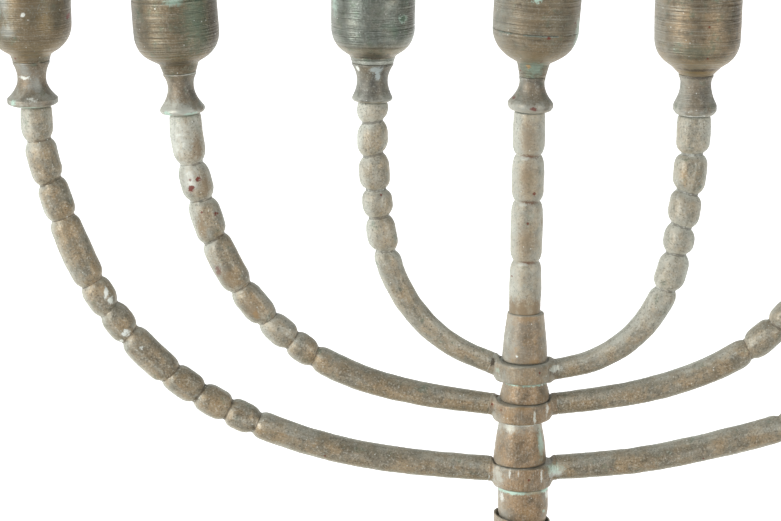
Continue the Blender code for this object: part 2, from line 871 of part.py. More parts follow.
def make_stem(collection, cutters, materials):
    """Everything on the rod that stands still."""
    stem = materials["stem"]
    turned("base_dome", base_outline(), BASE_SIDES, collection, materials["base"])
    turned("stem_foot", foot_outline(), STEM_SIDES, collection, stem)
    turned("stem_knop", knop_outline(), STEM_SIDES, collection, stem)
    shaft = turned("stem_shaft", shaft_outline(), STEM_SIDES, collection, stem)
    barrel = turned("lower_barrel", barrel_outline(), STEM_SIDES, collection, stem)
    shaft.location.z = ARM_LEVEL
    barrel.location = (BARREL_OFFSET, 0.0, ARM_LEVEL)
    make_collar(collection, cutters, materials["hub"])
    make_cones(collection, stem)
    make_column(collection, materials["arm"])


def make_fixings(collection, cutters, material):
    """The tie rod through the whole stem, with its nut and washer inside the base."""
    top = ARM_LEVEL + INNER_CONE_TOP + ROD_IN_SOCKET
    rod = cylinder("tie_rod", ROD_R, top - ROD_FOOT_Z, SPOOL_SIDES, collection)
    rod.location.z = ROD_FOOT_Z
    rod.data.materials.append(material)
    washer_top = BASE_CEILING - HALF_GAP
    washer_bottom = washer_top - WASHER_H
    turned(
        "base_washer",
        [
            (WASHER_R, washer_top),
            (WASHER_R, washer_bottom),
            (NUT_BORE_R, washer_bottom),
            (NUT_BORE_R, washer_top),
        ],
        STEM_SIDES,
        collection,
        material,
    )
    nut = cylinder("base_nut", NUT_R, NUT_H, HEX_SIDES, collection)
    nut.location.z = washer_bottom - GAP - NUT_H
    nut.data.materials.append(material)
    bore = cylinder("nut_bore", NUT_BORE_R, CUTTER_LENGTH, SPOOL_SIDES, cutters)
    bore.location.z = nut.location.z - NUT_H
    boolean(nut, as_cutter(bore), "DIFFERENCE")


def shade(collection):
    """Shade every mesh smooth, but keep its edges crisp."""
    for obj in collection.objects:
        if obj.type == "MESH":
            obj.data.shade_smooth()
            obj.data.set_sharp_from_angle(angle=math.radians(SMOOTH_ANGLE))


def from_table(cup):
    """A cup with its foot's height measured from the table."""
    return cup._replace(z=cup.z + ARM_LEVEL)


def main():
    clear_scene()
    parts = new_collection("menorah")
    cutters = new_collection("cutters")
    materials = {name: brass(name, *look) for name, look in COLOURS.items()}
    make_stem(parts, cutters, materials)
    make_fixings(parts, cutters, materials["fixing"])
    make_cup("centre", from_table(CUPS["centre"]), parts, materials, None, 0.0)
    for name, hub in HUBS.items():
        axis = pivot(name + "_pivot", ARM_LEVEL + hub.bottom, parts)
        arms = {key: arm for key, arm in ARMS.items() if arm.hub == name}
        make_hub(name + "_hub", hub, arms, parts, cutters, materials["hub"], axis)
        for key, arm in arms.items():
            make_arm(key + "_arm", arm, parts, cutters, materials["arm"], axis)
            make_cup(key, CUPS[arm.cup], parts, materials, axis, hub.bottom)
    shade(parts)


main()
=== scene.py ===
"""Seven-branched brass menorah: fine surfaces, aged metal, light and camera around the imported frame.

Outlines and routes are in millimetres, and metres are used only where a mesh or a light is made.
Every piece carries its own coordinates in millimetres in the vertex attribute "place", so that its
pattern stays with it wherever it is moved.
"""

import json
import math
from collections import namedtuple

import bmesh
import bpy
import numpy as np
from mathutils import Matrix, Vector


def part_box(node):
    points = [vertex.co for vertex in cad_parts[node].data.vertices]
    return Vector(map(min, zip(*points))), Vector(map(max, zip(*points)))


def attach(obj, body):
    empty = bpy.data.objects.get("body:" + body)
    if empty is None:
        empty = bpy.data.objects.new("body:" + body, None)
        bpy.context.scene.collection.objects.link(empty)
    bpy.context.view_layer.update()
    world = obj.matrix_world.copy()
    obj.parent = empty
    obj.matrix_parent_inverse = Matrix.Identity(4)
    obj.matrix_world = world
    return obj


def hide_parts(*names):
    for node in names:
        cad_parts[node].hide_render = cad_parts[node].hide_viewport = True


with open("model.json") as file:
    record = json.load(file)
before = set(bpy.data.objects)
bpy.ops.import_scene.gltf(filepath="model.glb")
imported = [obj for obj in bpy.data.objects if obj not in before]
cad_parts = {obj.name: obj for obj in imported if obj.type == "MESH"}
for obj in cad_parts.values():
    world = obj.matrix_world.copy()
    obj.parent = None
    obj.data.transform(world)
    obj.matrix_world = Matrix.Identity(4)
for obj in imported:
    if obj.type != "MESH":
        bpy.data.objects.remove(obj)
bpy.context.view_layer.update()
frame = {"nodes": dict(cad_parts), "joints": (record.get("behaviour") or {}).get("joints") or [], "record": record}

import openvdb
from mathutils import Matrix, Vector, noise

MM = 0.001

# --- Sizes shared with the frame -----------------------------------------------------------
GAP = 0.3
FLOOR_RISE = 4.6  # from the top of a bowl's tail to its inner floor
BOWL_RISE = 30.0  # from the top of a bowl's tail to its rim
BOWL_WALL = 1.7
RECESS_R = 4.4
RECESS_DEPTH = 2.7
STUD_BORE_R = 2.1
HALF_JOINT_GAP = 0.05  # between a bowl's tail and its spool
RIM_DROP = 0.12  # keeps the worn rim inside the frame's own bowl
SHOULDER_POWER = 1.8

# bottom and top of a hub's ring above the lowest arms' level, its radius and sideways offset,
# and the radius kept free above it for the cone that stands on it
Hub = namedtuple("Hub", "bottom top radius offset seat_radius")
HUBS = {
    "outer": Hub(-5.3, 2.2, 8.8, 0.0, 9.55),
    "middle": Hub(16.0, 22.2, 8.6, -0.6, 8.75),
    "inner": Hub(28.8, 34.8, 8.6, 0.3, 7.95),
}
HUB_BORE_R = 3.7

JOINTS = {joint["name"]: joint for joint in frame["joints"]}
MOUNTS = {mount["name"]: mount for mount in frame["record"]["mounts"]}
ARM_LEVEL = JOINTS["outer_swivel"]["pos_m"][2] / MM - HUBS["outer"].bottom

# shift: how far the arm's top sits to the side of its cup's foot
# route: points (x, z) along the arm's middle, from its lug up to its first beads
# beads: lengths of the turned beads, from the cup down
# bead_r: radius of the first and last bead; plain_r: radius below the beads and at the hub
# pale: how pale each bead is, from the cup down, then the plain stretch from its top to the hub
Arm = namedtuple("Arm", "hub shift route beads bead_r plain_r pale")
OUTER_BEADS = (10.4, 13.2, 12.0, 21.7, 10.1, 10.2, 17.4, 10.9, 10.3, 9.6)
ARMS = {
    "outer_left": Arm(
        "outer",
        1.0,
        ((-10.5, 0.0), (-45.4, 3.7), (-78.9, 13.2), (-108.9, 30.7), (-131.2, 57.3), (-144.1, 89.9)),
        OUTER_BEADS,
        (4.9, 4.7),
        (4.4, 3.9),
        (0.5, 0.2, 0.2, 0.2, 0.25, 0.25, 0.15, 0.1, 0.1, 0.1, 0.2, 0.15, 0.15, 0.15),
    ),
    "middle_left": Arm(
        "middle",
        0.6,
        (
            (-10.5, 20.9),
            (-42.9, 26.8),
            (-64.5, 36.2),
            (-78.9, 48.1),
            (-86.8, 57.9),
            (-94.7, 73.1),
            (-98.6, 85.3),
        ),
        (15.2, 11.6, 12.9, 17.2, 13.0, 10.0, 8.9),
        (5.0, 4.4),
        (4.3, 3.4),
        (0.7, 0.6, 0.4, 0.25, 0.25, 0.45, 0.2, 0.2, 0.1, 0.15, 0.1),
    ),
    "inner_left": Arm(
        "inner",
        0.1,
        ((-10.5, 34.2), (-19.6, 38.3), (-32.9, 49.5), (-41.2, 64.9), (-44.7, 82.1)),
        (6.0, 10.2, 10.8, 8.5, 10.7),
        (4.8, 4.6),
        (4.1, 3.3),
        (0.6, 0.45, 0.35, 0.45, 0.5, 0.4, 0.35, 0.4, 0.3),
    ),
    "inner_right": Arm(
        "inner",
        -0.1,
        ((10.5, 32.0), (19.3, 33.9), (34.1, 42.9), (43.4, 57.6), (47.4, 74.7)),
        (11.7, 12.0, 10.6, 8.8, 11.6),
        (5.2, 4.7),
        (4.3, 3.2),
        (0.45, 0.3, 0.5, 0.6, 0.55, 0.65, 0.4, 0.35, 0.25),
    ),
    "middle_right": Arm(
        "middle",
        -0.4,
        (
            (10.5, 20.9),
            (37.1, 25.0),
            (56.1, 31.1),
            (69.2, 38.3),
            (77.6, 45.4),
            (86.2, 55.9),
            (94.4, 72.0),
            (98.6, 85.3),
        ),
        (14.7, 10.4, 11.7, 15.6, 11.3, 8.7, 11.4),
        (5.0, 4.6),
        (4.3, 3.4),
        (0.6, 0.5, 0.4, 0.3, 0.2, 0.2, 0.25, 0.2, 0.3, 0.2, 0.1),
    ),
    "outer_right": Arm(
        "outer",
        -1.0,
        (
            (10.5, 0.3),
            (37.7, 2.9),
            (61.2, 7.9),
            (81.2, 13.7),
            (108.9, 30.1),
            (131.1, 57.1),
            (144.1, 89.9),
        ),
        (*OUTER_BEADS[:-1], 12.0),
        (4.9, 4.7),
        (4.4, 3.9),
        (0.6, 0.4, 0.35, 0.3, 0.25, 0.25, 0.2, 0.15, 0.15, 0.15, 0.2, 0.25, 0.15, 0.15),
    ),
}
GROOVE_SHARES = {"outer": 0.79, "middle": 0.76, "inner": 0.71}
GROOVE_FLAT = 0.4  # half width of the flat bottom of a groove
TOP_SHADE = 0.16  # how much less dust is laid on the side of a bead that faces up and inward, which paints shade on that side
SHORT_BEAD = 12.0  # beads longer than this are a little fatter
LONG_BEAD_SWELL = 0.004
STRAIGHT_TOP = 6.0
ARM_STEP = 0.35
ARM_ROOT = 0.8  # how far an arm runs on inside its lug, short of the cones that it swings past
ARM_SIDES = 56

# radii and heights of a cup's parts above its foot
Cup = namedtuple(
    "Cup",
    "flange flange_r flange_h neck_r neck_h joint_r joint_h tail_r tail_h shoulder_h bowl_r",
)
OUTER_CUP = Cup("disc", 7.7, 2.4, 4.35, 8.2, 5.6, 13.5, 6.1, 15.8, 24.5, 12.6)
MIDDLE_CUP = Cup("bell", 6.95, 1.9, 3.95, 8.2, 5.0, 12.4, 5.9, 15.6, 24.0, 12.9)
CUPS = {
    "outer_left": OUTER_CUP,
    "middle_left": MIDDLE_CUP,
    "inner_left": Cup("lip", 6.2, 1.3, 4.7, 6.2, 6.3, 11.7, 6.9, 14.2, 22.0, 12.6),
    "centre": Cup("round", 6.95, 3.2, 3.8, 9.0, 4.0, 10.5, 4.9, 15.2, 25.0, 13.0),
    "inner_right": Cup("band", 6.6, 3.4, 4.7, 9.6, 5.3, 12.3, 7.5, 15.0, 23.0, 13.0),
    "middle_right": MIDDLE_CUP,
    "outer_right": OUTER_CUP,
}

INNER_CONE_TOP = 50.0
COLUMN_BEADS = (13.1, 14.3, 18.7, 16.9)
COLUMN_BEAD_R = 5.0
COLUMN_LEAN = 0.8
COLUMN_SEAT_GAP = 0.1
COLUMN_TOP_GAP = 0.25
COLUMN_SHIFT = 0.2
STUD_HOLE_R = 2.5
STUD_HOLE_DEPTH = 6.2
ROD_HOLE_R = 3.5
ROD_HOLE_DEPTH = 13.0
# a groove's outline from above it down: height from its middle, share of the radius, rounding
COLUMN_GROOVE = (
    (2.4, 0.97, 1.6),
    (0.8, 0.88, 0.6),
    (0.0, 0.76, 0.15),
    (-0.8, 0.88, 0.6),
    (-2.4, 0.97, 1.6),
)


# --- Meshes -----------------------------------------------------------------------------------
def numbers(elements, field, width):
    """A field of mesh elements as an array with one row for each element."""
    values = np.empty(len(elements) * width, np.float32)
    elements.foreach_get(field, values)
    return values.reshape(-1, width).astype(float)


def spread_out(values, edges, rounds):
    """Values at the points of a mesh, averaged with their neighbours a number of times."""
    count = len(values)
    ends = np.concatenate([edges[:, 0], edges[:, 1]])
    others = np.concatenate([edges[:, 1], edges[:, 0]])
    share = 1.0 / np.maximum(np.bincount(ends, minlength=count), 1)
    for _ in range(rounds):
        near = [np.bincount(ends, column[others], count) * share for column in values.T]
        values = (values + np.column_stack(near)) / 2
    return values


def add_value(mesh, name, values):
    """Store one number for each vertex."""
    mesh.attributes.new(name, "FLOAT", "POINT").data.foreach_set("value", np.float32(values))


def add_vector(mesh, name, values):
    """Store one vector for each vertex."""
    layer = mesh.attributes.new(name, "FLOAT_VECTOR", "POINT")
    layer.data.foreach_set("vector", np.float32(values).ravel())


def rough_noise(points, size, seed):
    """Smooth noise from -1 to 1 at points in millimetres, with features of that size."""
    shift = Vector((seed * 7.3, seed * 3.1, seed * 5.7))
    return np.array([noise.noise(Vector(p) / size + shift) for p in points])


def finish_piece(name, mesh, slot, material, wear=0.08, seed=1.0, values=None):
    """Wear a mesh in millimetres, store what its material reads, and stand it for its CAD node.

    The mesh is in its own frame. The object that is returned still has to be placed.
    """
    mesh.shade_smooth()
    points = numbers(mesh.vertices, "co", 3)
    normals = numbers(mesh.vertices, "normal", 3)
    edges = np.empty(len(mesh.edges) * 2, np.int32)
    mesh.edges.foreach_get("vertices", edges)
    edges = edges.reshape(-1, 2)
    broad = rough_noise(points, 5.0, seed)
    fine = rough_noise(points, 1.1, seed + 11)
    add_vector(mesh, "place", points)
    add_vector(mesh, "facing", normals)
    near = spread_out(points, edges, 8)
    far = spread_out(near, edges, 50)
    add_value(mesh, "hollow", np.clip(((near - points) * normals).sum(1) / 0.10, -1, 1))
    dip = spread_out(((far - points) * normals).sum(1)[:, None], edges, 12)[:, 0]
    add_value(mesh, "dip", np.clip(dip / 0.22, -1, 1))
    for key, value in (values or {}).items():
        (add_vector if value.ndim == 2 else add_value)(mesh, key, value)
    worn = points + normals * (broad * wear + fine * wear * 0.35)[:, None]
    mesh.vertices.foreach_set("co", np.float32(worn * MM).ravel())
    mesh.update()
    obj = bpy.data.objects.new(name, mesh)
    bpy.context.scene.collection.objects.link(obj)
    mesh.materials.append(material)
    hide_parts(name)
    return obj


def outline_points(corners, step):
    """A dense outline from (radius, height, rounding) corners, closed from last to first."""
    points = []
    count = len(corners)
    for i, (r, z, rounding) in enumerate(corners):
        here = np.array([r, z])
        before = np.array(corners[i - 1][:2]) - here
        after = np.array(corners[(i + 1) % count][:2]) - here
        reach = min(rounding, np.linalg.norm(before) * 0.49, np.linalg.norm(after) * 0.49)
        if reach < 0.02:
            points.append(here)
            continue
        start = here + before / np.linalg.norm(before) * reach
        end = here + after / np.linalg.norm(after) * reach
        for u in np.linspace(0, 1, 6):
            points.append((1 - u) ** 2 * start + 2 * u * (1 - u) * here + u * u * end)
    dense = []
    for a, b in zip(points, points[1:] + points[:1]):
        pieces = max(1, round(np.linalg.norm(b - a) / step))
        dense += [a + (b - a) * k / pieces for k in range(pieces)]
    return np.array(dense)


def turned_mesh(name, corners, sides, step):
    """A piece turned on a lathe, in millimetres, from a closed outline."""
    outline = outline_points(corners, step)
    turn = np.arange(sides) / sides * 2 * math.pi
    r, z = outline[:, 0, None], outline[:, 1, None]
    grid = np.stack([r * np.cos(turn), r * np.sin(turn), z + turn * 0], axis=-1)
    return grid_mesh(name, grid, closed=True)


def grid_mesh(name, grid, closed):
    """A mesh from a grid of points: rings, each of as many points. Open ends get caps."""
    rings, sides = grid.shape[:2]
    index = np.arange(rings * sides).reshape(rings, sides)
    across = np.roll(index, -1, axis=1)
    if closed:
        low, low_across = np.roll(index, -1, axis=0), np.roll(across, -1, axis=0)
        high, high_across = index, across
    else:
        low, low_across = index[1:], across[1:]
        high, high_across = index[:-1], across[:-1]
    faces = np.stack([high, low, low_across, high_across], axis=-1).reshape(-1, 4).tolist()
    if not closed:
        faces += [index[0].tolist(), index[-1][::-1].tolist()]
    mesh = bpy.data.meshes.new(name)
    mesh.from_pydata(grid.reshape(-1, 3).tolist(), [], faces)
    form = bmesh.new()
    form.from_mesh(mesh)
    bmesh.ops.remove_doubles(form, verts=form.verts, dist=0.001)
    bmesh.ops.recalc_face_normals(form, faces=form.faces)
    form.to_mesh(mesh)
    form.free()
    return mesh


def turned(name, body, slot, corners, material, sides=64, step=0.4, at=None, **wear):
    """A turned piece that stands for the CAD node of its name, placed by a matrix."""
    mesh = turned_mesh(name, corners, sides, step)
    obj = finish_piece(name, mesh, slot, material, **wear)
    obj.matrix_world = at or Matrix.Identity(4)
    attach(obj, body)
    return obj


# --- Node materials -----------------------------------------------------------------------------
class Nodes:
    """A node tree, with short calls for the nodes that the scene needs."""

    def __init__(self, tree):
        self.tree = tree

    def node(self, kind, inputs=(), output=0, **settings):
        """Add a node, fill its inputs with sockets or plain values, and give one output."""
        made = self.tree.nodes.new("ShaderNode" + kind)
        for key, value in settings.items():
            setattr(made, key, value)
        for key, value in dict(inputs).items():
            self.feed(made.inputs[key], value)
        return made.outputs[output]

    def feed(self, socket, value):
        """Link a socket, or set its plain value."""
        if isinstance(value, bpy.types.NodeSocket):
            self.tree.links.new(value, socket)
        else:
            socket.default_value = value

    def attribute(self, name, output="Fac"):
        return self.node("Attribute", output=output, attribute_name=name)

    def math(self, operation, a, b=0.0):
        return self.node("Math", {0: a, 1: b}, operation=operation)

    def plus(self, a, b):
        return self.math("ADD", a, b)

    def minus(self, a, b):
        return self.math("SUBTRACT", a, b)

    def times(self, a, b):
        return self.math("MULTIPLY", a, b)

    def between(self, value, low, high, start=0.0, end=1.0):
        """Value taken smoothly from start at low to end at high."""
        inputs = {"Value": value, 1: low, 2: high, 3: start, 4: end}
        return self.node("MapRange", inputs, interpolation_type="SMOOTHSTEP")

    def moved(self, vector, shift):
        """The same vector a long way off, for a pattern that repeats nothing."""
        return self.node("VectorMath", {0: vector, 1: shift})

    def noise(self, vector, scale, detail=3.0, roughness=0.6):
        inputs = {"Vector": vector, "Scale": scale, "Detail": detail, "Roughness": roughness}
        return self.node("TexNoise", inputs)

    def specks(self, vector, scale, size, share):
        """Round specks of a size in millimetres, in a share of the cells of a grid."""
        cells = {"Vector": vector, "Scale": scale}
        distance = self.node("TexVoronoi", cells, output="Distance")
        colour = self.node("TexVoronoi", cells, output="Color")
        chosen = self.math("LESS_THAN", self.node("SeparateColor", {0: colour}), share)
        disc = self.between(distance, size * scale * 0.6, size * scale, 1.0, 0.0)
        return self.times(chosen, disc)

    def spot(self, vector, centre, size):
        """Falls from 1 at a place of the piece to 0 at a distance of size, in millimetres."""
        if isinstance(size, float):
            size = (size, size + 2.0, size)
        vector = self.node("VectorMath", {0: vector, 1: size}, operation="DIVIDE")
        centre = tuple(c / s for c, s in zip(centre, size))
        away = self.node(
            "VectorMath", {0: vector, 1: centre}, output="Value", operation="DISTANCE"
        )
        return self.node("MapRange", {"Value": away, 1: 0.0, 2: 1.0, 3: 1.1, 4: -0.3})

    def mix(self, factor, a, b):
        """Colour a changed to colour b by a factor."""
        inputs = {0: factor, 6: a, 7: b}
        return self.node("Mix", inputs, output=2, data_type="RGBA")

    def over(self, base, mask, strength, paint):
        """A base colour under a paint, which a mask and a strength lay on."""
        return self.mix(self.times(mask, strength), base, paint)


class Metal(Nodes):
    """The nodes of a new material."""

    def __init__(self, name):
        self.material = bpy.data.materials.new(name)
        self.material.use_nodes = True
        super().__init__(self.material.node_tree)
        self.shader = self.tree.nodes["Principled BSDF"]

    def shade(self, inputs):
        """Feed the shader's inputs, and give the material."""
        for key, value in inputs.items():
            self.feed(self.shader.inputs[key], value)
        return self.material


def colour(red, green, blue):
    """A display colour, 0 to 255, as the linear colour that a shader takes."""
    parts = [value / 255 for value in (red, green, blue)]
    linear = [p / 12.92 if p <= 0.04045 else ((p + 0.055) / 1.055) ** 2.4 for p in parts]
    return (*linear, 1.0)


PALE_DUST_AND_LIGHT = colour(203, 206, 195)
VERDIGRIS = colour(190, 218, 202)
GREEN = colour(98, 116, 98)
OLIVE = colour(106, 103, 86)
GOLDEN = colour(144, 122, 80)
RUST = colour(110, 50, 38)
AMBER = colour(160, 130, 88)
BROWN = colour(138, 118, 90)
GROOVE_BROWN = colour(112, 80, 58)
DIRT_AND_SHADE = colour(66, 58, 46)
WHITE = colour(232, 236, 228)
SHEEN = colour(236, 246, 236)
SOFT_SPOT = 5.5  # spots and bands wider than these, in millimetres, fade out softly
SOFT_BAND = 4.0

# strengths of what covers the metal; lines run round a piece and brushing along it
Cover = namedtuple(
    "Cover",
    "pale grain green rust amber lines slant brush chalk metal gloss deposit patch sheen streaks",
    defaults=(0.0, 0.42, 0.0, 0.03, 0.25, 0.0, 0.0, 0.0, 0.5, 0.45, 0.47, PALE_DUST_AND_LIGHT, 0.6, 0.3, 0.0),
)


def aged_brass(name, tones, cover, seed=0.0, bands=(), spots=()):
    """Old brass: three close tones of metal under dust, green, rust specks and deposits, with painted light and
    shade: olive tops, golden undersides, paler left sides and outlines, and darker grooves.

    bands are deposits between two heights of the piece: (low, high, paint, strength).
    spots are deposits round a centre: (centre, reach, paint, strength), where the reach is one
    number or one for each axis. All are in millimetres.
    """
    m = Metal(name)
    own = m.attribute("place", "Vector")
    facing = m.node("SeparateXYZ", {0: m.attribute("facing", "Vector")}, output=0).node
    place = m.node("VectorMath", {0: own, 1: (seed * 17.0, seed * 9.0, seed * 13.0)})
    hollow = m.attribute("hollow")
    dip = m.attribute("dip")
    broad = m.noise(place, 0.13, 2.0)
    mottle = m.noise(place, 0.45, 5.0, 0.6)
    grain = m.noise(place, 1.7, 2.0, 0.7)
    dark, middle, warm = tones
    base = m.mix(m.between(mottle, 0.32, 0.68), dark, middle)
    warmth = m.plus(broad, m.times(m.minus(mottle, 0.5), 0.5))
    base = m.mix(m.between(warmth, 0.38, 0.64), base, warm)
    patches = m.noise(m.moved(place, (31, 7, 19)), 0.2, 3.0)
    base = m.over(base, m.between(patches, 0.5, 0.68), cover.amber, AMBER)
    # Painted light and shade: faces that look up get a darker olive tint, for the dim light from above, and faces
    # that look down get a golden tint, for light thrown up from the floor.
    upward = m.between(facing.outputs["Z"], 0.15, 0.95)
    downward = m.between(facing.outputs["Z"], -0.25, -0.95)
    base = m.over(base, upward, 0.5, OLIVE)
    base = m.over(base, downward, 0.4, GOLDEN)
    height = m.plus(m.times(grain, 0.9), mottle)
    if cover.lines:
        flat = m.node(
            "Mapping",
            {
                "Vector": own,
                "Scale": (0.012, 0.012, 2.0),
                "Rotation": (0.0, math.radians(cover.slant), 0.0),
            },
        )
        ridges = m.noise(flat, 1.0, 2.0, 0.6)
        kept = m.between(m.noise(place, 0.14, 2.0), 0.38, 0.6, 0.35, 1.0)
        light = m.times(m.between(ridges, 0.52, 0.64), kept)
        base = m.over(base, light, cover.lines * 0.16, PALE_DUST_AND_LIGHT)
        scored = m.times(m.between(ridges, 0.46, 0.36), kept)
        base = m.over(base, scored, cover.lines * 0.4, DIRT_AND_SHADE)
        height = m.plus(height, m.times(ridges, cover.lines * 6.0))
    if cover.brush:
        along = m.node("Mapping", {"Vector": own, "Scale": (2.0, 2.0, 0.2)})
        scratches = m.noise(along, 1.0, 3.0, 0.7)
        light = m.between(scratches, 0.52, 0.7)
        base = m.over(base, light, cover.brush * 0.45, PALE_DUST_AND_LIGHT)
        scored = m.between(scratches, 0.48, 0.34)
        base = m.over(base, scored, cover.brush * 0.35, DIRT_AND_SHADE)
        height = m.plus(height, m.times(scratches, cover.brush * 1.5))
    ragged = m.noise(m.moved(place, (5, 41, 3)), 0.8, 5.0, 0.7)
    drift = m.noise(m.moved(place, (3, 11, 47)), 0.2, 3.0, 0.55)
    level = m.plus(m.attribute("pale"), cover.pale)
    # Paler on faces that look left: partly more dust, partly painted light from the brighter left side.
    level = m.minus(level, m.times(facing.outputs["X"], 0.14))
    for pattern, weight in ((drift, 1.3 * cover.patch), (ragged, 1.1 * cover.patch), (grain, 1.0)):
        level = m.plus(level, m.times(m.minus(pattern, 0.5), weight))
    gathered = m.times(m.between(dip, -0.1, 0.8), cover.chalk)
    level = m.plus(level, m.times(gathered, 0.7))
    # Bare metal where a face looks to the front or back, paler where it turns sideways: partly rubbed wear, partly
    # a painted rim light along the outline seen from the front.
    rubbed_and_rim_light = m.between(m.math("ABSOLUTE", facing.outputs["Y"]), 0.55, 1.0, 0.12, -0.22)
    level = m.plus(level, rubbed_and_rim_light)
    # The dust colour laid by this mask is partly dust, partly painted light on left faces and outlines and painted
    # shade on bead tops.
    dust_and_light = m.between(level, -0.2, 1.15, 0.0, 0.95)
    base = m.mix(dust_and_light, base, PALE_DUST_AND_LIGHT)
    # Painted light again over the dust: undersides tinted golden, for light thrown up from the floor.
    base = m.over(base, downward, 0.3, GOLDEN)
    if cover.streaks:
        streaks = m.noise(m.attribute("run", "Vector"), 0.38, 2.0, 0.5)
        pale_streak = m.between(streaks, 0.5, 0.66)
        base = m.over(base, pale_streak, cover.streaks * 0.35, PALE_DUST_AND_LIGHT)
        dark_streak = m.between(streaks, 0.5, 0.36)
        base = m.over(base, dark_streak, cover.streaks * 0.4, OLIVE)
    if cover.green:
        mask = m.noise(m.moved(place, (9, 2, 71)), 0.28, 4.0, 0.65)
        mask = m.between(mask, 0.62 - 0.25 * cover.green, 0.78 - 0.12 * cover.green, 0.0, 0.6)
        base = m.mix(mask, base, GREEN)
    base = m.over(base, m.between(grain, 0.52, 0.68), cover.grain, DIRT_AND_SHADE)
    base = m.over(base, m.between(grain, 0.46, 0.34), cover.grain * 0.45, WHITE)
    ravel = m.plus(m.times(ragged, 1.5), m.times(grain, 1.0))
    ravel = m.minus(ravel, 1.25)
    shade = m.times(m.between(dip, 0.05, 0.7), 0.22)
    base = m.mix(shade, base, DIRT_AND_SHADE)
    wide = m.minus(m.between(dip, 0.0, 0.9), m.times(facing.outputs["X"], 0.2))
    wide = m.between(m.plus(wide, ravel), 0.4, 0.8)
    base = m.over(base, wide, cover.chalk, cover.deposit)
    # Darker in the deepest creases: partly dirt, partly painted shade.
    deep = m.plus(m.between(hollow, 0.2, 0.95), m.times(ravel, -0.8))
    base = m.mix(m.between(deep, 0.55, 1.1, 0.0, 0.6), base, DIRT_AND_SHADE)
    height_up = m.node("SeparateXYZ", {0: own}, output=2)
    for low, high, paint, strength in bands:
        inside = m.between(height_up, low, high, 0.0, 1.1)
        blur = 0.15 if abs(high - low) < SOFT_BAND else 0.35
        mask = m.between(m.plus(inside, ravel), 0.6 - blur, 0.6 + blur)
        mask = m.times(mask, m.between(drift, 0.38, 0.54, 0.25, 1.0))
        base = m.over(base, mask, strength, paint)
    for centre, size, paint, strength in spots:
        largest = size if isinstance(size, float) else max(size)
        blur = 0.15 if largest < SOFT_SPOT else 0.4
        mask = m.plus(m.spot(own, centre, size), ravel)
        mask = m.between(mask, 0.55 - blur, 0.55 + blur)
        base = m.over(base, mask, strength, paint)
    base = m.over(base, m.specks(place, 0.35, 0.5, cover.rust), 0.8, RUST)
    base = m.over(base, m.specks(place, 0.9, 0.22, 0.06), 0.7, WHITE)
    base = m.over(base, m.specks(place, 0.8, 0.24, 0.09), 0.55, DIRT_AND_SHADE)
    uneven = 0.07 * cover.patch
    dull = m.between(mottle, 0.3, 0.7, cover.gloss - uneven, cover.gloss + uneven)
    return m.shade(
        {
            "Base Color": base,
            "Metallic": m.times(m.minus(1.0, dust_and_light), cover.metal),
            "Roughness": m.plus(dull, m.times(dust_and_light, 0.2)),
            "Specular IOR Level": 0.35,
            "Sheen Weight": cover.sheen,
            "Sheen Roughness": 0.35,
            "Sheen Tint": SHEEN,
            "Normal": m.node("Bump", {"Strength": 0.6, "Distance": 0.00012, "Height": height}),
        }
    )


def plain_brass():
    """The bright fixings hidden inside the stem and the cups."""
    inputs = {"Base Color": colour(176, 146, 96), "Metallic": 0.9, "Roughness": 0.4}
    return Metal("fixing").shade(inputs)


FIXING = plain_brass()


# --- Arms ---------------------------------------------------------------------------------------
def cubic_slopes(values, knots):
    """The slopes of a natural cubic spline through values at knots."""
    count = len(knots)
    gaps = np.diff(knots)
    system = np.zeros((count, count))
    target = np.zeros(count)
    system[0, :2] = 2.0, 1.0
    target[0] = 3.0 * (values[1] - values[0]) / gaps[0]
    system[-1, -2:] = 1.0, 2.0
    target[-1] = 3.0 * (values[-1] - values[-2]) / gaps[-1]
    for i in range(1, count - 1):
        system[i, i - 1] = gaps[i]
        system[i, i] = 2.0 * (gaps[i - 1] + gaps[i])
        system[i, i + 1] = gaps[i - 1]
        before = gaps[i] / gaps[i - 1] * (values[i] - values[i - 1])
        after = gaps[i - 1] / gaps[i] * (values[i + 1] - values[i])
        target[i] = 3.0 * (before + after)
    return np.linalg.solve(system, target)


class Route:
    """A smooth path through points, read by distance from its first point."""

    def __init__(self, points, samples=900):
        points = np.array(points, float)
        steps = np.linalg.norm(np.diff(points, axis=0), axis=1)
        knots = np.concatenate([[0.0], np.cumsum(steps)])
        t = np.linspace(0.0, knots[-1], samples)
        piece = np.clip(np.searchsorted(knots, t, "right") - 1, 0, len(steps) - 1)
        width = steps[piece]
        u = (t - knots[piece]) / width
        columns = []
        for values in points.T:
            slope = cubic_slopes(values, knots)
            columns.append(
                (1 + 2 * u) * (1 - u) ** 2 * values[piece]
                + u * (1 - u) ** 2 * width * slope[piece]
                + u**2 * (3 - 2 * u) * values[piece + 1]
                + u**2 * (u - 1) * width * slope[piece + 1]
            )
        self.points = np.column_stack(columns)
        runs = np.linalg.norm(np.diff(self.points, axis=0), axis=1)
        self.distance = np.concatenate([[0.0], np.cumsum(runs)])
        self.length = self.distance[-1]

    def at(self, distance):
        """The (x, z) points at distances along the path, straight on past its ends."""
        columns = []
        for values in self.points.T:
            inside = np.interp(distance, self.distance, values)
            first = (values[1] - values[0]) / self.distance[1]
            last = (values[-1] - values[-2]) / (self.distance[-1] - self.distance[-2])
            early = np.minimum(distance, 0.0) * first
            late = np.maximum(distance - self.length, 0.0) * last
            columns.append(inside + early + late)
        return np.stack(columns, axis=-1)


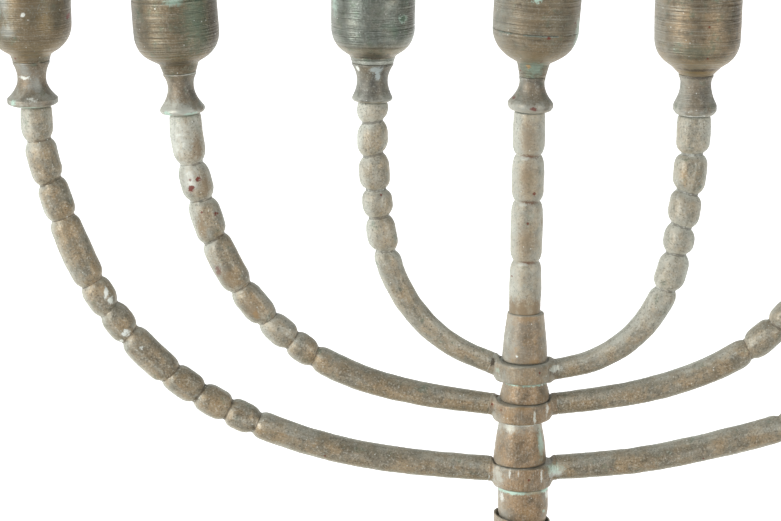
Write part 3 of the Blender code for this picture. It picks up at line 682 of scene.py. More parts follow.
def cup_frame(name):
    """A cup's foot point and axis, both as (x, z), read from its candle seat in the record."""
    mount = MOUNTS[name + "_candle"]
    axis = np.array([mount["axis"][0], mount["axis"][2]])
    seat = np.array([mount["pos_m"][0], mount["pos_m"][2]]) / MM
    return seat - axis * (CUPS[name].tail_h + FLOOR_RISE), axis


def cup_matrix(name):
    """The placement of a cup's pieces, whose own +Z runs up the cup."""
    foot, axis = cup_frame(name)
    lean = Matrix.Rotation(math.atan2(axis[0], axis[1]), 4, "Y")
    return Matrix.Translation((foot[0] * MM, 0.0, foot[1] * MM)) @ lean


def arm_route(name, arm):
    """The arm's path from its lug to just under its cup, ending square to the cup."""
    foot, axis = cup_frame(name)
    top = foot + np.array([arm.shift, -ARM_LEVEL]) - axis * GAP
    return Route([*arm.route, top - axis * STRAIGHT_TOP, top])


def bead_starts(arm, length):
    """The distances of the grooves along the arm, from the cup down, and the beads' radii."""
    grooves = [length]
    radii = []
    count = len(arm.beads)
    for i, bead in enumerate(arm.beads):
        radius = arm.bead_r[0] + (arm.bead_r[1] - arm.bead_r[0]) * i / (count - 1)
        radii.append(radius * (1.0 + LONG_BEAD_SWELL * max(0.0, bead - SHORT_BEAD)))
        grooves.append(grooves[-1] - bead)
    return grooves, radii


def arm_mesh(name, arm, route, seed):
    """The beaded arm as one fine tube, with what its material reads for each point."""
    grooves, radii = bead_starts(arm, route.length)
    draws = np.random.default_rng(seed)
    tilts = draws.uniform(-0.16, 0.16, len(grooves))
    widths = draws.uniform(2.7, 3.9, len(grooves))
    depths = draws.uniform(-0.03, 0.03, len(grooves)) + GROOVE_SHARES[arm.hub]
    s = np.append(np.arange(-ARM_ROOT, route.length, ARM_STEP), route.length)
    turn = np.arange(ARM_SIDES) / ARM_SIDES * 2 * math.pi
    centre = route.at(s)
    tangent = route.at(s + 0.2) - route.at(s - 0.2)
    tangent /= np.linalg.norm(tangent, axis=1)[:, None]
    side = 1.0 if "_left" in name else -1.0
    inner = np.column_stack([tangent[:, 1], -tangent[:, 0]]) * side
    lift = np.cos(turn)
    tilt = np.interp(s, grooves[::-1], tilts[::-1])
    along = s[:, None] + tilt[:, None] * 4.5 * lift[None, :]
    radius = plain_radius(along, grooves[-1], arm)
    for i, (high, low) in enumerate(zip(grooves, grooves[1:])):
        inside = (along >= low) & (along < high + (9 if i == 0 else 0))
        share = np.clip((along - low) / (high - low), 0, 1)
        middle = radii[i] * (1.0 - 0.05 * (2 * share - 1) ** 2)
        radius = np.where(inside, middle, radius)
    for groove, width, depth in zip(grooves[1:], widths, depths):
        near = np.clip((np.abs(along - groove) - GROOVE_FLAT) / width, 0, 1)
        rise = (1 - (1 - near) ** 2.2) ** (1 / 1.25)
        radius = radius * (depth + (1 - depth) * rise)
    top = np.clip((route.length - s) / 1.2, 0, 1)[:, None]
    radius = radius * (0.9 + 0.1 * (1 - (1 - top) ** 2) ** 0.5)
    root = np.clip(-s / 0.1, 0, 1)[:, None]
    radius = radius - 0.25 * root
    x = centre[:, 0, None] + inner[:, 0, None] * radius * lift
    z = centre[:, 1, None] + inner[:, 1, None] * radius * lift
    y = radius * np.sin(turn)[None, :]
    grid = np.stack([x, y, z + ARM_LEVEL], axis=-1)
    mesh = grid_mesh(name, grid, closed=False)
    marks = [(a + b) / 2 for a, b in zip(grooves, grooves[1:])]
    plain = np.linspace(grooves[-1] * 0.88, grooves[-1] * 0.1, len(arm.pale) - len(marks))
    pale = np.interp(along, np.append(marks, plain)[::-1], arm.pale[::-1])
    beaded = np.clip((along - grooves[-1]) / 4.0 + 0.5, 0.2, 1.0)
    pale = pale - TOP_SHADE * lift * beaded
    run = np.stack([along * 0.12, radius * lift, y], axis=-1)
    return mesh, {"pale": pale.ravel(), "run": run.reshape(-1, 3)}


def plain_radius(along, last_groove, arm):
    """Radius of the plain stretch between the hub and the lowest bead."""
    share = np.clip(along / last_groove, 0, 1)
    return arm.plain_r[1] + (arm.plain_r[0] - arm.plain_r[1]) * share


# deposits that run from a hub's right lug on to its arm
OUTER_LUG_SPOTS = (
    ((9.8, -3.4, 149.8), (6.0, 4.0, 3.4), WHITE, 0.7),
    ((9.2, -3.8, 150.8), (6.4, 4.0, 3.6), VERDIGRIS, 0.55),
)
INNER_LUG_SPOTS = (((9.4, -3.2, 182.9), (5.0, 4.0, 2.6), PALE_DUST_AND_LIGHT, 0.8),)
# brown patches and rust spots on the beads near the left cups, and the deposits at the lugs
ARM_SPOTS = {
    "outer_right": OUTER_LUG_SPOTS,
    "inner_right": INNER_LUG_SPOTS,
    "middle_left": (
        ((-104.0, -2.5, 255.0), (5.0, 4.5, 13.0), WHITE, 0.8),
        ((-101.5, -3.8, 242.0), (4.0, 4.0, 7.0), WHITE, 0.6),
        ((-99.0, -4.2, 252.0), (5.0, 4.0, 8.5), BROWN, 0.75),
        ((-97.0, -4.0, 240.5), (4.6, 4.0, 7.5), BROWN, 0.75),
        ((-99.2, -4.1, 242.5), 2.2, RUST, 0.95),
        ((-101.3, -4.1, 239.6), 2.7, RUST, 0.95),
        ((-101.6, -4.1, 242.5), 1.2, RUST, 0.7),
        ((-93.8, -4.1, 231.8), 2.0, RUST, 0.9),
        ((-98.3, -4.1, 228.5), (4.0, 4.0, 8.0), BROWN, 0.8),
        ((-93.8, -4.1, 213.6), (2.6, 3.0, 4.4), RUST, 0.6),
        ((-90.0, -4.1, 212.0), (6.5, 4.0, 6.5), BROWN, 0.6),
        ((-83.0, -4.1, 202.3), (5.5, 4.0, 6.0), BROWN, 0.7),
        ((-82.0, -4.1, 200.3), (2.6, 3.0, 3.6), AMBER, 0.6),
    ),
    "outer_left": (
        ((-122.2, -3.6, 194.6), (3.4, 3.5, 2.6), WHITE, 0.95),
        ((-123.7, -3.6, 191.4), 2.2, WHITE, 0.8),
        ((-117.4, -3.6, 189.7), 1.8, WHITE, 0.8),
        ((-127.9, -3.8, 207.0), (1.6, 3.0, 4.6), WHITE, 0.8),
        ((-126.6, -3.8, 204.6), (1.8, 3.0, 3.0), WHITE, 0.8),
    ),
}
# an arm runs on from its hub with the same pattern
HUB_SEEDS = {"outer": 31.0, "middle": 32.0, "inner": 33.0}
ARM_DRAWS_SEED = 20
HUB_WEAR_SEED = 40.0
BOWL_SEED = 50.0
SPOOL_SEED = 60.0
CONE_SEED = 70.0
COLUMN_SEED = 80.0
ARM_TONES = (colour(118, 110, 92), colour(149, 138, 117), colour(159, 139, 108))
ARM_COVER = Cover(
    0.0, 0.6, green=0.2, amber=0.3, chalk=0.85, metal=0.45, gloss=0.46, sheen=0.7, streaks=0.6
)


def make_arms():
    for i, (name, arm) in enumerate(ARMS.items()):
        mesh, values = arm_mesh(name + "_arm", arm, arm_route(name, arm), ARM_DRAWS_SEED + i)
        seed = HUB_SEEDS[arm.hub]
        spots = ARM_SPOTS.get(name, ())
        material = aged_brass(name + "_arm", ARM_TONES, ARM_COVER, seed, (), spots)
        obj = finish_piece(name + "_arm", mesh, "arm", material, 0.14, 1.0 + i, values)
        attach(obj, arm.hub + "_pair")


# --- Hubs ---------------------------------------------------------------------------------------
def smooth_min(a, b, blend):
    """The smaller of two distances, with a rounded fillet of about that size between them."""
    share = np.clip(0.5 + 0.5 * (b - a) / blend, 0, 1)
    return b + (a - b) * share - blend * share * (1 - share)


def rounded_box(across, along, edge):
    """Distance to a rounded rectangle, from how far a point is outside its two half widths."""
    a, b = across + edge, along + edge
    return np.hypot(np.maximum(a, 0), np.maximum(b, 0)) + np.minimum(np.maximum(a, b), 0) - edge


def hub_distance(points, hub, lugs):
    """Distance of points to a hub's surface: a ring and its lugs, run together by fillets."""
    x, y, z = points.T
    from_ring = np.hypot(x - hub.offset, y)
    wall = (hub.radius - HUB_BORE_R) / 2
    half = (hub.top - hub.bottom) / 2
    result = rounded_box(
        np.abs(from_ring - hub.radius + wall) - wall,
        np.abs(z - hub.bottom - half) - half,
        0.8,
    )
    fillet = 0.2 + 3.0 * (1 - np.clip((np.abs(x) - 8.4) / 1.9, 0, 1))
    for start, outward, radius in lugs:
        dx, dz = x - start[0], z - start[1]
        along = dx * outward[0] + dz * outward[1]
        off = np.hypot(dx - along * outward[0], dz - along * outward[1])
        reach = hub.radius - 1.0
        lug = rounded_box(
            np.hypot(off, y) - radius - 0.04, np.abs(along + reach / 2) - reach / 2, 0.1
        )
        result = smooth_min(result, lug, fillet)
    above = z - hub.top
    seat = np.minimum(hub.seat_radius - 0.3 + 0.14 * above - np.hypot(x, y), above - 0.05)
    result = -smooth_min(-result, -seat, 0.5)
    return np.maximum(result, HUB_BORE_R - from_ring)


def hub_mesh(name, hub, lugs):
    """A hub's surface drawn from its distances on a fine grid, in millimetres."""
    cell = 0.27
    nudge = 0.02
    low = np.array([-11.5, -9.6, hub.bottom - 1.5])
    high = np.array([11.5, 9.6, hub.top + 4.5])
    counts = np.ceil((high - low) / cell).astype(int)
    axes = [low[k] + cell * np.arange(counts[k]) for k in range(3)]
    grid = np.stack(np.meshgrid(*axes, indexing="ij"), axis=-1).reshape(-1, 3)
    field = np.clip(hub_distance(grid, hub, lugs), -1.0, 1.0).reshape(counts)
    volume = openvdb.FloatGrid(1.0)
    volume.copyFromArray(np.ascontiguousarray(field, np.float32))
    points, faces = volume.convertToQuads(isovalue=0.0)
    points = points * cell + low
    for _ in range(3):
        here = hub_distance(points, hub, lugs)
        slope = np.empty_like(points)
        for axis in range(3):
            step = np.zeros(3)
            step[axis] = nudge
            ahead = hub_distance(points + step, hub, lugs)
            slope[:, axis] = (ahead - hub_distance(points - step, hub, lugs)) / (2 * nudge)
        size = np.maximum((slope**2).sum(1), 0.4)
        points -= slope * (np.clip(here, -0.1, 0.1) / size)[:, None]
    points[:, 2] += ARM_LEVEL
    mesh = bpy.data.meshes.new(name)
    mesh.from_pydata(points.tolist(), [], faces.tolist())
    form = bmesh.new()
    form.from_mesh(mesh)
    bmesh.ops.recalc_face_normals(form, faces=form.faces)
    form.to_mesh(mesh)
    form.free()
    return mesh


def make_hubs():
    for i, (key, hub) in enumerate(HUBS.items()):
        lugs = []
        for name, arm in ARMS.items():
            if arm.hub == key:
                route = arm_route(name, arm)
                outward = route.at(2.0) - route.at(0.0)
                lugs.append((route.at(0.0), outward / np.linalg.norm(outward), arm.plain_r[1]))
        tones, cover, spots = HUB_LOOKS[key]
        material = aged_brass(key + "_hub", tones, cover, HUB_SEEDS[key], (), spots)
        mesh = hub_mesh(key + "_hub", hub, lugs)
        obj = finish_piece(key + "_hub", mesh, "hub", material, 0.07, HUB_WEAR_SEED + i)
        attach(obj, key + "_pair")


WARM_TONES = (colour(120, 105, 84), colour(142, 124, 100), colour(156, 131, 100))
GREY_TONES = (colour(116, 104, 84), colour(138, 124, 102), colour(148, 128, 99))
HUB_LOOKS = {
    "outer": (
        WARM_TONES,
        Cover(0.1, brush=0.55, amber=0.3),
        (
            *OUTER_LUG_SPOTS,
            ((5.6, -6.6, 149.6), (0.9, 3.0, 5.0), WHITE, 0.7),
            ((-7.4, -4.6, 149.0), (4.6, 4.0, 8.0), PALE_DUST_AND_LIGHT, 0.7),
            ((-10.9, -3.0, 148.6), (2.0, 3.0, 5.0), PALE_DUST_AND_LIGHT, 0.7),
            ((-4.2, -7.6, 150.6), (0.8, 2.0, 3.6), WHITE, 0.6),
            ((-1.6, -8.6, 150.8), (0.6, 2.0, 2.6), WHITE, 0.5),
        ),
    ),
    "middle": (
        WARM_TONES,
        Cover(0.12, brush=0.5, amber=0.4),
        (
            ((7.2, -4.0, 170.4), (1.2, 3.0, 4.6), WHITE, 0.6),
            ((3.3, -7.7, 168.2), (1.0, 2.0, 5.0), PALE_DUST_AND_LIGHT, 0.8),
            ((0.0, -8.5, 171.6), (6.0, 3.0, 2.0), AMBER, 0.5),
        ),
    ),
    "inner": (
        GREY_TONES,
        Cover(0.25, brush=0.5, amber=0.2),
        (
            *INNER_LUG_SPOTS,
            ((-8.0, -4.0, 182.8), (1.6, 2.5, 2.2), VERDIGRIS, 0.4),
            ((-10.0, -2.6, 185.0), 2.6, DIRT_AND_SHADE, 0.8),
        ),
    ),
}


# --- Cups ---------------------------------------------------------------------------------------
def cove(cup, end_h, end_r, shares):
    """Points of the hollow curve from a spool's neck to one of its ends."""
    points = []
    for share in shares:
        height = cup.neck_h + (end_h - cup.neck_h) * share
        points.append((cup.neck_r + (end_r - cup.neck_r) * share**2, height, 0.0))
    return points


# each flange's edge from the cove down: its place inside the full radius, height as a share of
# the flange's height, and rounding
FLANGES = {
    "disc": ((-0.3, 1.0, 0.0), (0.0, 0.9, 0.25), (0.0, 0.25, 0.4), (-1.2, 0.0, 0.3)),
    "bell": ((-0.3, 1.0, 0.0), (0.0, 0.55, 0.3), (-0.4, 0.15, 0.3), (-1.2, 0.0, 0.2)),
    "lip": ((-0.15, 1.0, 0.0), (0.0, 0.5, 0.3), (-0.6, 0.0, 0.3)),
    "round": ((-0.4, 1.0, 0.0), (0.0, 0.8, 0.6), (0.0, 0.45, 0.8), (-0.8, 0.12, 0.7), (-1.8, 0.0, 0.3)),
    "band": ((-0.2, 1.0, 0.0), (0.0, 0.85, 0.3), (0.0, 0.35, 0.4), (-1.0, 0.0, 0.3)),
}


def spool_corners(cup):
    """A spool's outline: coves up to the bowl and down to the flange, and the stud's bore."""
    top = cup.joint_h - HALF_JOINT_GAP
    edge = FLANGES[cup.flange]
    upper = np.linspace(1, 0, 9)[:-1]
    lower = np.linspace(0, 1, 12)[1:-1]
    return [
        (cup.joint_r - 0.1, top, 0.0),
        (cup.joint_r, top - 0.04, 0.02),
        *cove(cup, top - 0.6, cup.joint_r, upper),
        (cup.neck_r, cup.neck_h, 0.0),
        *cove(cup, cup.flange_h, cup.flange_r + edge[0][0], lower),
        *((cup.flange_r + inset, cup.flange_h * share, rounding) for inset, share, rounding in edge),
        (STUD_BORE_R, 0.0, 0.0),
        (STUD_BORE_R, top, 0.0),
    ]


def bowl_corners(cup, rings):
    """A bowl's outline: rim, wall with its turned grooves, shoulder, tail, and the hollow."""
    rim = cup.tail_h + BOWL_RISE - RIM_DROP
    floor = cup.tail_h + FLOOR_RISE
    bottom = cup.joint_h + HALF_JOINT_GAP
    inner_r = cup.bowl_r - BOWL_WALL
    wall = [(cup.bowl_r + 0.3, rim, 0.5), (cup.bowl_r + 0.27, rim - 1.6, 0.3)]
    for height, depth in rings:
        wall.append((cup.bowl_r, height + 0.35, 0.15))
        wall.append((cup.bowl_r - depth, height, 0.1))
        wall.append((cup.bowl_r, height - 0.35, 0.15))
    shoulder = []
    for share in np.linspace(1, 0.0, 16)[:-1]:
        swell = (1 - (1 - share) ** SHOULDER_POWER) ** (1 / SHOULDER_POWER)
        swell *= 1 - 0.35 * (1 - share) ** 6
        radius = cup.tail_r + (cup.bowl_r - cup.tail_r) * swell
        shoulder.append((radius, cup.tail_h + (cup.shoulder_h - cup.tail_h) * share, 0.0))
    return [
        *wall,
        *shoulder,
        (cup.tail_r + 0.1, cup.tail_h - 0.3, 0.6),
        (cup.joint_r + 0.03, bottom + 0.05, 0.03),
        (cup.joint_r - 0.03, bottom, 0.0),
        (STUD_BORE_R, bottom, 0.0),
        (STUD_BORE_R, floor - RECESS_DEPTH, 0.0),
        (RECESS_R, floor - RECESS_DEPTH, 0.0),
        (RECESS_R, floor, 0.2),
        (10.0, floor, 0.8),
        (inner_r, floor + 1.5, 1.2),
        (inner_r, rim - 0.6, 0.0),
        (inner_r + 0.3, rim, 0.3),
    ]


BROWN_BOWL = (colour(104, 96, 78), colour(118, 110, 90), colour(126, 113, 90))
GREEN_BOWL = (colour(107, 112, 103), colour(125, 131, 123), colour(129, 131, 120))
CREAM_BOWL = (colour(114, 102, 82), colour(134, 123, 103), colour(146, 128, 101))
DARK_SPOOL = (colour(88, 87, 80), colour(110, 110, 103), colour(118, 113, 99))
PALE_SPOOL = (colour(96, 91, 80), colour(120, 114, 101), colour(130, 117, 97))
BOWL_COVER = Cover(-0.1, 0.25, 0.3, 0.05, 0.1, 1.1, 1.0, 0.0, 0.4, 0.6, 0.4, VERDIGRIS, 0.4, 0.1)
SPOOL_COVER = Cover(0.0, 0.4, 0.3, 0.03, 0.1, 0.3, 0.0, 0.0, 0.6, 0.4, 0.46, VERDIGRIS, 0.5, 0.15)
PALE_BLUE = colour(176, 186, 184)
# painted shade on the left edge of the two leftmost bowls
LEFT_EDGE_SHADE = ((-13.6, -2.0, 28.0), (5.6, 9.0, 34.0), DIRT_AND_SHADE, 0.5)

# a bowl's tones and cover, the heights and depths of its turned grooves, and its spots;
# then its spool's tones and cover, its deposits and its spots
CupLook = namedtuple(
    "CupLook", "tones cover grooves spots spool_tones spool_cover spool_bands spool_spots"
)
CUP_LOOKS = {
    "outer_left": CupLook(
        BROWN_BOWL,
        BOWL_COVER._replace(lines=0.8, green=0.2, rust=0.08),
        (),
        (
            # painted shade on the bowl's right edge
            ((12.0, -4.5, 30.0), (5.0, 6.0, 26.0), DIRT_AND_SHADE, 0.4),
            LEFT_EDGE_SHADE,
            ((-6.5, -10.8, 33.0), (5.0, 5.0, 9.0), PALE_BLUE, 0.35),
            ((-5.5, -11.3, 24.1), (5.6, 5.0, 4.6), PALE_BLUE, 0.3),
            ((-0.3, -12.6, 29.1), 1.7, WHITE, 0.95),
            ((12.2, -3.5, 27.4), 2.0, RUST, 0.9),
            ((6.0, -11.0, 27.0), (6.0, 6.0, 7.0), GOLDEN, 0.3),
            ((1.0, -12.5, 36.0), (16.0, 8.0, 12.0), BROWN, 0.4),
        ),
        PALE_SPOOL,
        SPOOL_COVER._replace(pale=-0.12),
        ((8.0, 0.5, PALE_DUST_AND_LIGHT, 0.35),),
        (
            ((-2.3, -5.0, 11.4), (6.0, 4.0, 5.6), PALE_BLUE, 0.4),
            ((-2.1, -4.1, 8.9), (5.0, 3.0, 1.4), WHITE, 0.7),
            ((1.7, -4.2, 6.4), (5.6, 3.0, 7.5), PALE_BLUE, 0.4),
            ((1.0, -7.5, 2.9), (4.0, 3.0, 1.6), WHITE, 0.7),
            ((-5.4, -5.6, 1.6), (3.0, 4.0, 1.8), VERDIGRIS, 0.8),
            ((0.0, -7.6, 0.2), (9.0, 5.0, 0.8), VERDIGRIS, 0.7),
        ),
    ),
    "middle_left": CupLook(
        BROWN_BOWL,
        BOWL_COVER._replace(green=0.5, slant=-1.0),
        ((35.3, 0.3),),
        (
            ((1.1, -12.9, 35.5), (6.0, 4.0, 2.6), VERDIGRIS, 0.7),
            ((7.5, -10.5, 31.0), (12.0, 9.0, 26.0), GREEN, 0.6),
            # painted shade over the bowl's right side
            ((12.0, -5.0, 28.0), (9.0, 8.0, 36.0), DIRT_AND_SHADE, 0.7),
            LEFT_EDGE_SHADE,
            ((0.0, -6.0, 16.2), (16.0, 9.0, 5.6), DIRT_AND_SHADE, 0.5),
        ),
        PALE_SPOOL,
        SPOOL_COVER._replace(pale=0.05),
        ((8.5, 0.0, PALE_DUST_AND_LIGHT, 0.6), (11.7, 12.3, PALE_DUST_AND_LIGHT, 0.8)),
        (
            ((-4.6, -6.0, 0.9), (5.0, 5.0, 1.7), VERDIGRIS, 0.8),
            ((2.8, -6.0, 0.4), (5.0, 5.0, 1.5), VERDIGRIS, 0.7),
        ),
    ),
    "inner_left": CupLook(
        GREEN_BOWL,
        BOWL_COVER._replace(green=0.5, lines=1.2, metal=0.8, gloss=0.36),
        ((23.2, 0.12),),
        (
            ((8.9, -8.8, 26.3), 3.4, VERDIGRIS, 0.6),
            ((8.9, -8.8, 26.3), 2.0, GREEN, 0.9),
            # painted shade on the bowl's right edge
            ((11.5, -5.5, 27.0), (4.4, 5.0, 16.0), DIRT_AND_SHADE, 0.6),
            ((-11.0, -5.0, 30.0), (3.6, 4.0, 8.0), VERDIGRIS, 0.5),
            ((0.3, -6.9, 14.8), (14.0, 8.0, 2.6), DIRT_AND_SHADE, 0.6),
            ((0.3, -6.9, 12.4), (14.0, 8.0, 1.2), PALE_DUST_AND_LIGHT, 0.5),
        ),
        DARK_SPOOL,
        SPOOL_COVER,
        ((5.0, 0.0, PALE_DUST_AND_LIGHT, 0.4),),
        (
            ((1.6, -4.8, 8.3), (2.0, 3.0, 4.2), PALE_BLUE, 0.8),
            ((1.2, -5.3, 10.4), (5.0, 3.0, 2.6), PALE_BLUE, 0.8),
            ((-4.5, -3.8, 10.3), (1.4, 2.0, 2.4), WHITE, 0.9),
        ),
    ),
    "centre": CupLook(
        BROWN_BOWL,
        BOWL_COVER._replace(slant=3.0, rust=0.12, metal=0.4, pale=0.02, gloss=0.44),
        ((24.8, 0.12),),
        (
            ((-0.4, -4.9, 13.8), (8.6, 5.5, 8.0), GREEN, 0.55),
            ((0.6, -5.2, 14.0), (6.0, 4.5, 6.6), VERDIGRIS, 0.25),
            ((-1.6, -4.6, 14.2), 1.7, AMBER, 0.9),
            ((3.3, -12.3, 24.4), 1.3, RUST, 0.9),
            ((11.1, -5.7, 28.5), 1.1, RUST, 0.9),
            ((-0.9, -12.9, 35.6), 3.0, VERDIGRIS, 0.8),
            ((12.3, -3.5, 24.0), (3.4, 5.0, 12.0), VERDIGRIS, 0.5),
            ((-6.0, -11.5, 33.5), (2.4, 4.0, 2.0), DIRT_AND_SHADE, 0.5),
        ),
        PALE_SPOOL,
        SPOOL_COVER._replace(pale=0.1),
        ((6.5, 0.0, PALE_DUST_AND_LIGHT, 0.4),),
        (((0.6, -6.9, 1.6), (2.6, 2.0, 1.6), RUST, 0.8), ((-5.3, -2.0, 4.2), 1.3, RUST, 0.7)),
    ),
    "inner_right": CupLook(
        CREAM_BOWL,
        BOWL_COVER._replace(slant=2.0, lines=1.3, pale=0.0),
        (),
        (
            # painted shade on the bowl's right edge
            ((10.5, -7.0, 30.0), (5.0, 6.0, 16.0), DIRT_AND_SHADE, 0.6),
            ((0.0, -7.0, 14.6), (16.0, 9.0, 1.3), DIRT_AND_SHADE, 0.7),
            ((0.0, -7.0, 13.6), (16.0, 9.0, 1.0), GOLDEN, 0.8),
            ((-1.0, -12.0, 21.0), (13.0, 8.0, 5.0), GREEN, 0.35),
        ),
        PALE_SPOOL,
        SPOOL_COVER._replace(pale=0.2, lines=1.4),
        ((4.0, 0.0, PALE_DUST_AND_LIGHT, 0.3),),
        (((0.0, -6.4, 0.0), (10.0, 5.0, 1.3), WHITE, 0.85), ((0.0, -6.0, 11.9), (16.0, 9.0, 1.0), DIRT_AND_SHADE, 0.6)),
    ),
}
TWINS = {"middle_right": "middle_left", "outer_right": "outer_left"}


def make_cups():
    for i, (name, cup) in enumerate(CUPS.items()):
        at = cup_matrix(name)
        look = CUP_LOOKS[TWINS.get(name, name)]
        body = ARMS[name].hub + "_pair" if name in ARMS else "stem"
        slot = "green_bowl" if name == "inner_left" else "bowl"
        seed = BOWL_SEED + i
        bowl = aged_brass(name + "_bowl", look.tones, look.cover, seed, (), look.spots)
        outline = bowl_corners(cup, look.grooves)
        turned(name + "_bowl", body, slot, outline, bowl, 80, at=at, wear=0.07, seed=seed)
        seed = SPOOL_SEED + i
        spool = aged_brass(
            name + "_spool",
            look.spool_tones,
            look.spool_cover,
            seed,
            look.spool_bands,
            look.spool_spots,
        )
        outline = spool_corners(cup)
        turned(name + "_spool", body, "spool", outline, spool, 64, 0.3, at, wear=0.07, seed=seed)
        head = cup.tail_h + FLOOR_RISE - RECESS_DEPTH + 0.15
        stud = [
            (0.0, head + 2.3, 0.0),
            (2.2, head + 2.2, 0.8),
            (3.8, head + 1.2, 0.6),
            (3.8, head, 0.2),
            (1.7, head, 0.0),
            (1.7, -5.5, 0.0),
            (0.0, -5.5, 0.0),
        ]
        turned(name + "_stud", body, "fixing", stud, FIXING, 32, at=at, wear=0.02)


# --- Stem ---------------------------------------------------------------------------------------
def cone_corners(height, bottom_r, top_r, bore_r=4.0):
    """A tapered sleeve with a rounded foot."""
    bulge = bottom_r + (top_r - bottom_r) * 0.35
    return [
        (top_r - 0.1, height, 0.5),
        (bulge, height / 2, 8.0),
        (bottom_r, 1.4, 0.8),
        (bottom_r - 0.1, 0.3, 0.25),
        (bottom_r - 0.4, 0.0, 0.12),
        (bore_r, 0.0, 0.0),
        (bore_r, height, 0.0),
    ]


# a cone's bottom and top radius, lean, cover, deposits and spots
Cone = namedtuple("Cone", "bottom_r top_r lean cover bands spots")
CONES = {
    "outer": Cone(
        8.25,
        6.6,
        0.0,
        Cover(0.0, brush=0.2, amber=0.5),
        ((7.5, 14.0, PALE_DUST_AND_LIGHT, 0.45), (12.2, 13.6, WHITE, 0.6)),
        (
            ((6.2, -4.3, 7.0), (2.4, 4.0, 11.0), VERDIGRIS, 0.65),
            ((-3.6, -5.9, 12.4), (5.6, 4.0, 3.0), PALE_DUST_AND_LIGHT, 0.7),
        ),
    ),
    "middle": Cone(
        7.7,
        6.6,
        0.0,
        Cover(0.02, brush=0.2, amber=0.3),
        ((4.2, 6.8, VERDIGRIS, 0.9),),
        (((5.1, -4.5, 5.7), 0.9, WHITE, 0.95), ((-3.4, -5.6, 6.0), (3.0, 2.0, 0.8), VERDIGRIS, 0.9)),
    ),
    "inner": Cone(
        7.0,
        5.7,
        COLUMN_LEAN,
        Cover(0.28, brush=0.2, amber=0.5),
        (),
        (
            ((-2.7, -6.3, 2.5), (0.9, 1.5, 0.7), WHITE, 0.8),
            ((0.8, -5.7, 14.2), (7.0, 4.0, 2.0), AMBER, 0.4),
            ((3.1, -6.3, 0.9), (5.0, 3.0, 2.4), AMBER, 0.5),
        ),
    ),
}


def make_cones():
    for i, (key, cone) in enumerate(CONES.items()):
        low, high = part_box(key + "_cone")
        middle = (low[0] + high[0]) / 2
        lean = Matrix.Rotation(math.radians(cone.lean), 4, "Y")
        at = Matrix.Translation((middle, 0.0, low[2])) @ lean
        name = key + "_cone"
        outline = cone_corners((high[2] - low[2]) / MM, cone.bottom_r, cone.top_r)
        seed = CONE_SEED + i
        material = aged_brass(name, WARM_TONES, cone.cover, seed, cone.bands, cone.spots)
        turned(name, "stem", "stem", outline, material, 72, 0.3, at, wear=0.08, seed=seed)


def make_column():
    """The beaded centre column."""
    foot = INNER_CONE_TOP + COLUMN_SEAT_GAP
    height = cup_frame("centre")[0][1] - ARM_LEVEL - COLUMN_TOP_GAP - foot
    hole = height - STUD_HOLE_DEPTH
    corners = [
        (STUD_HOLE_R, hole, 0.0),
        (STUD_HOLE_R, height, 0.0),
        (COLUMN_BEAD_R * 0.93, height, 0.4),
    ]
    z = height
    grooves = []
    for length in COLUMN_BEADS[:-1]:
        corners.append((COLUMN_BEAD_R, z - length * 0.4, 4.0))
        z -= length
        for away, share, rounding in COLUMN_GROOVE:
            corners.append((COLUMN_BEAD_R * share, z + away, rounding))
        grooves.append(z)
    corners += [
        (COLUMN_BEAD_R, z / 2, 4.0),
        (COLUMN_BEAD_R * 0.97, 0.0, 0.3),
        (ROD_HOLE_R, 0.0, 0.0),
        (ROD_HOLE_R, ROD_HOLE_DEPTH, 0.0),
        (0.0, ROD_HOLE_DEPTH, 0.0),
        (0.0, hole, 0.0),
    ]
    lean = Matrix.Rotation(math.radians(COLUMN_LEAN), 4, "Y")
    at = Matrix.Translation((COLUMN_SHIFT * MM, 0.0, (ARM_LEVEL + foot) * MM)) @ lean
    cover = ARM_COVER._replace(pale=0.52, grain=0.45, streaks=0.0)
    bands = [(9.0, 1.0, BROWN, 0.85)]
    spots = [
        ((1.7, -4.8, grooves[1] + 3.0), 1.1, RUST, 0.9),
        ((-4.3, -2.5, grooves[2] - 4.6), 0.8, RUST, 0.8),
        ((4.6, -2.5, grooves[1] - 6.4), (1.2, 3.0, 3.4), BROWN, 0.7),
    ]
    for middle in (grooves[0] + 6.0, grooves[1] + 8.0, grooves[2] + 7.5):
        spots.append(((-0.6, -5.0, middle), (6.0, 4.0, 11.0), BROWN, 0.6))
    for groove in grooves:
        spots.append(((0.6, -4.2, groove), (8.0, 4.0, 1.3), GROOVE_BROWN, 0.8))
        spots.append(((-1.8, -4.2, groove - 0.5), (4.6, 3.0, 1.3), PALE_DUST_AND_LIGHT, 0.6))
    material = aged_brass("centre_column", ARM_TONES, cover, COLUMN_SEED, bands, spots)
    wear = {"wear": 0.12, "seed": COLUMN_SEED}
    turned("centre_column", "stem", "arm", corners, material, 64, 0.3, at, **wear)


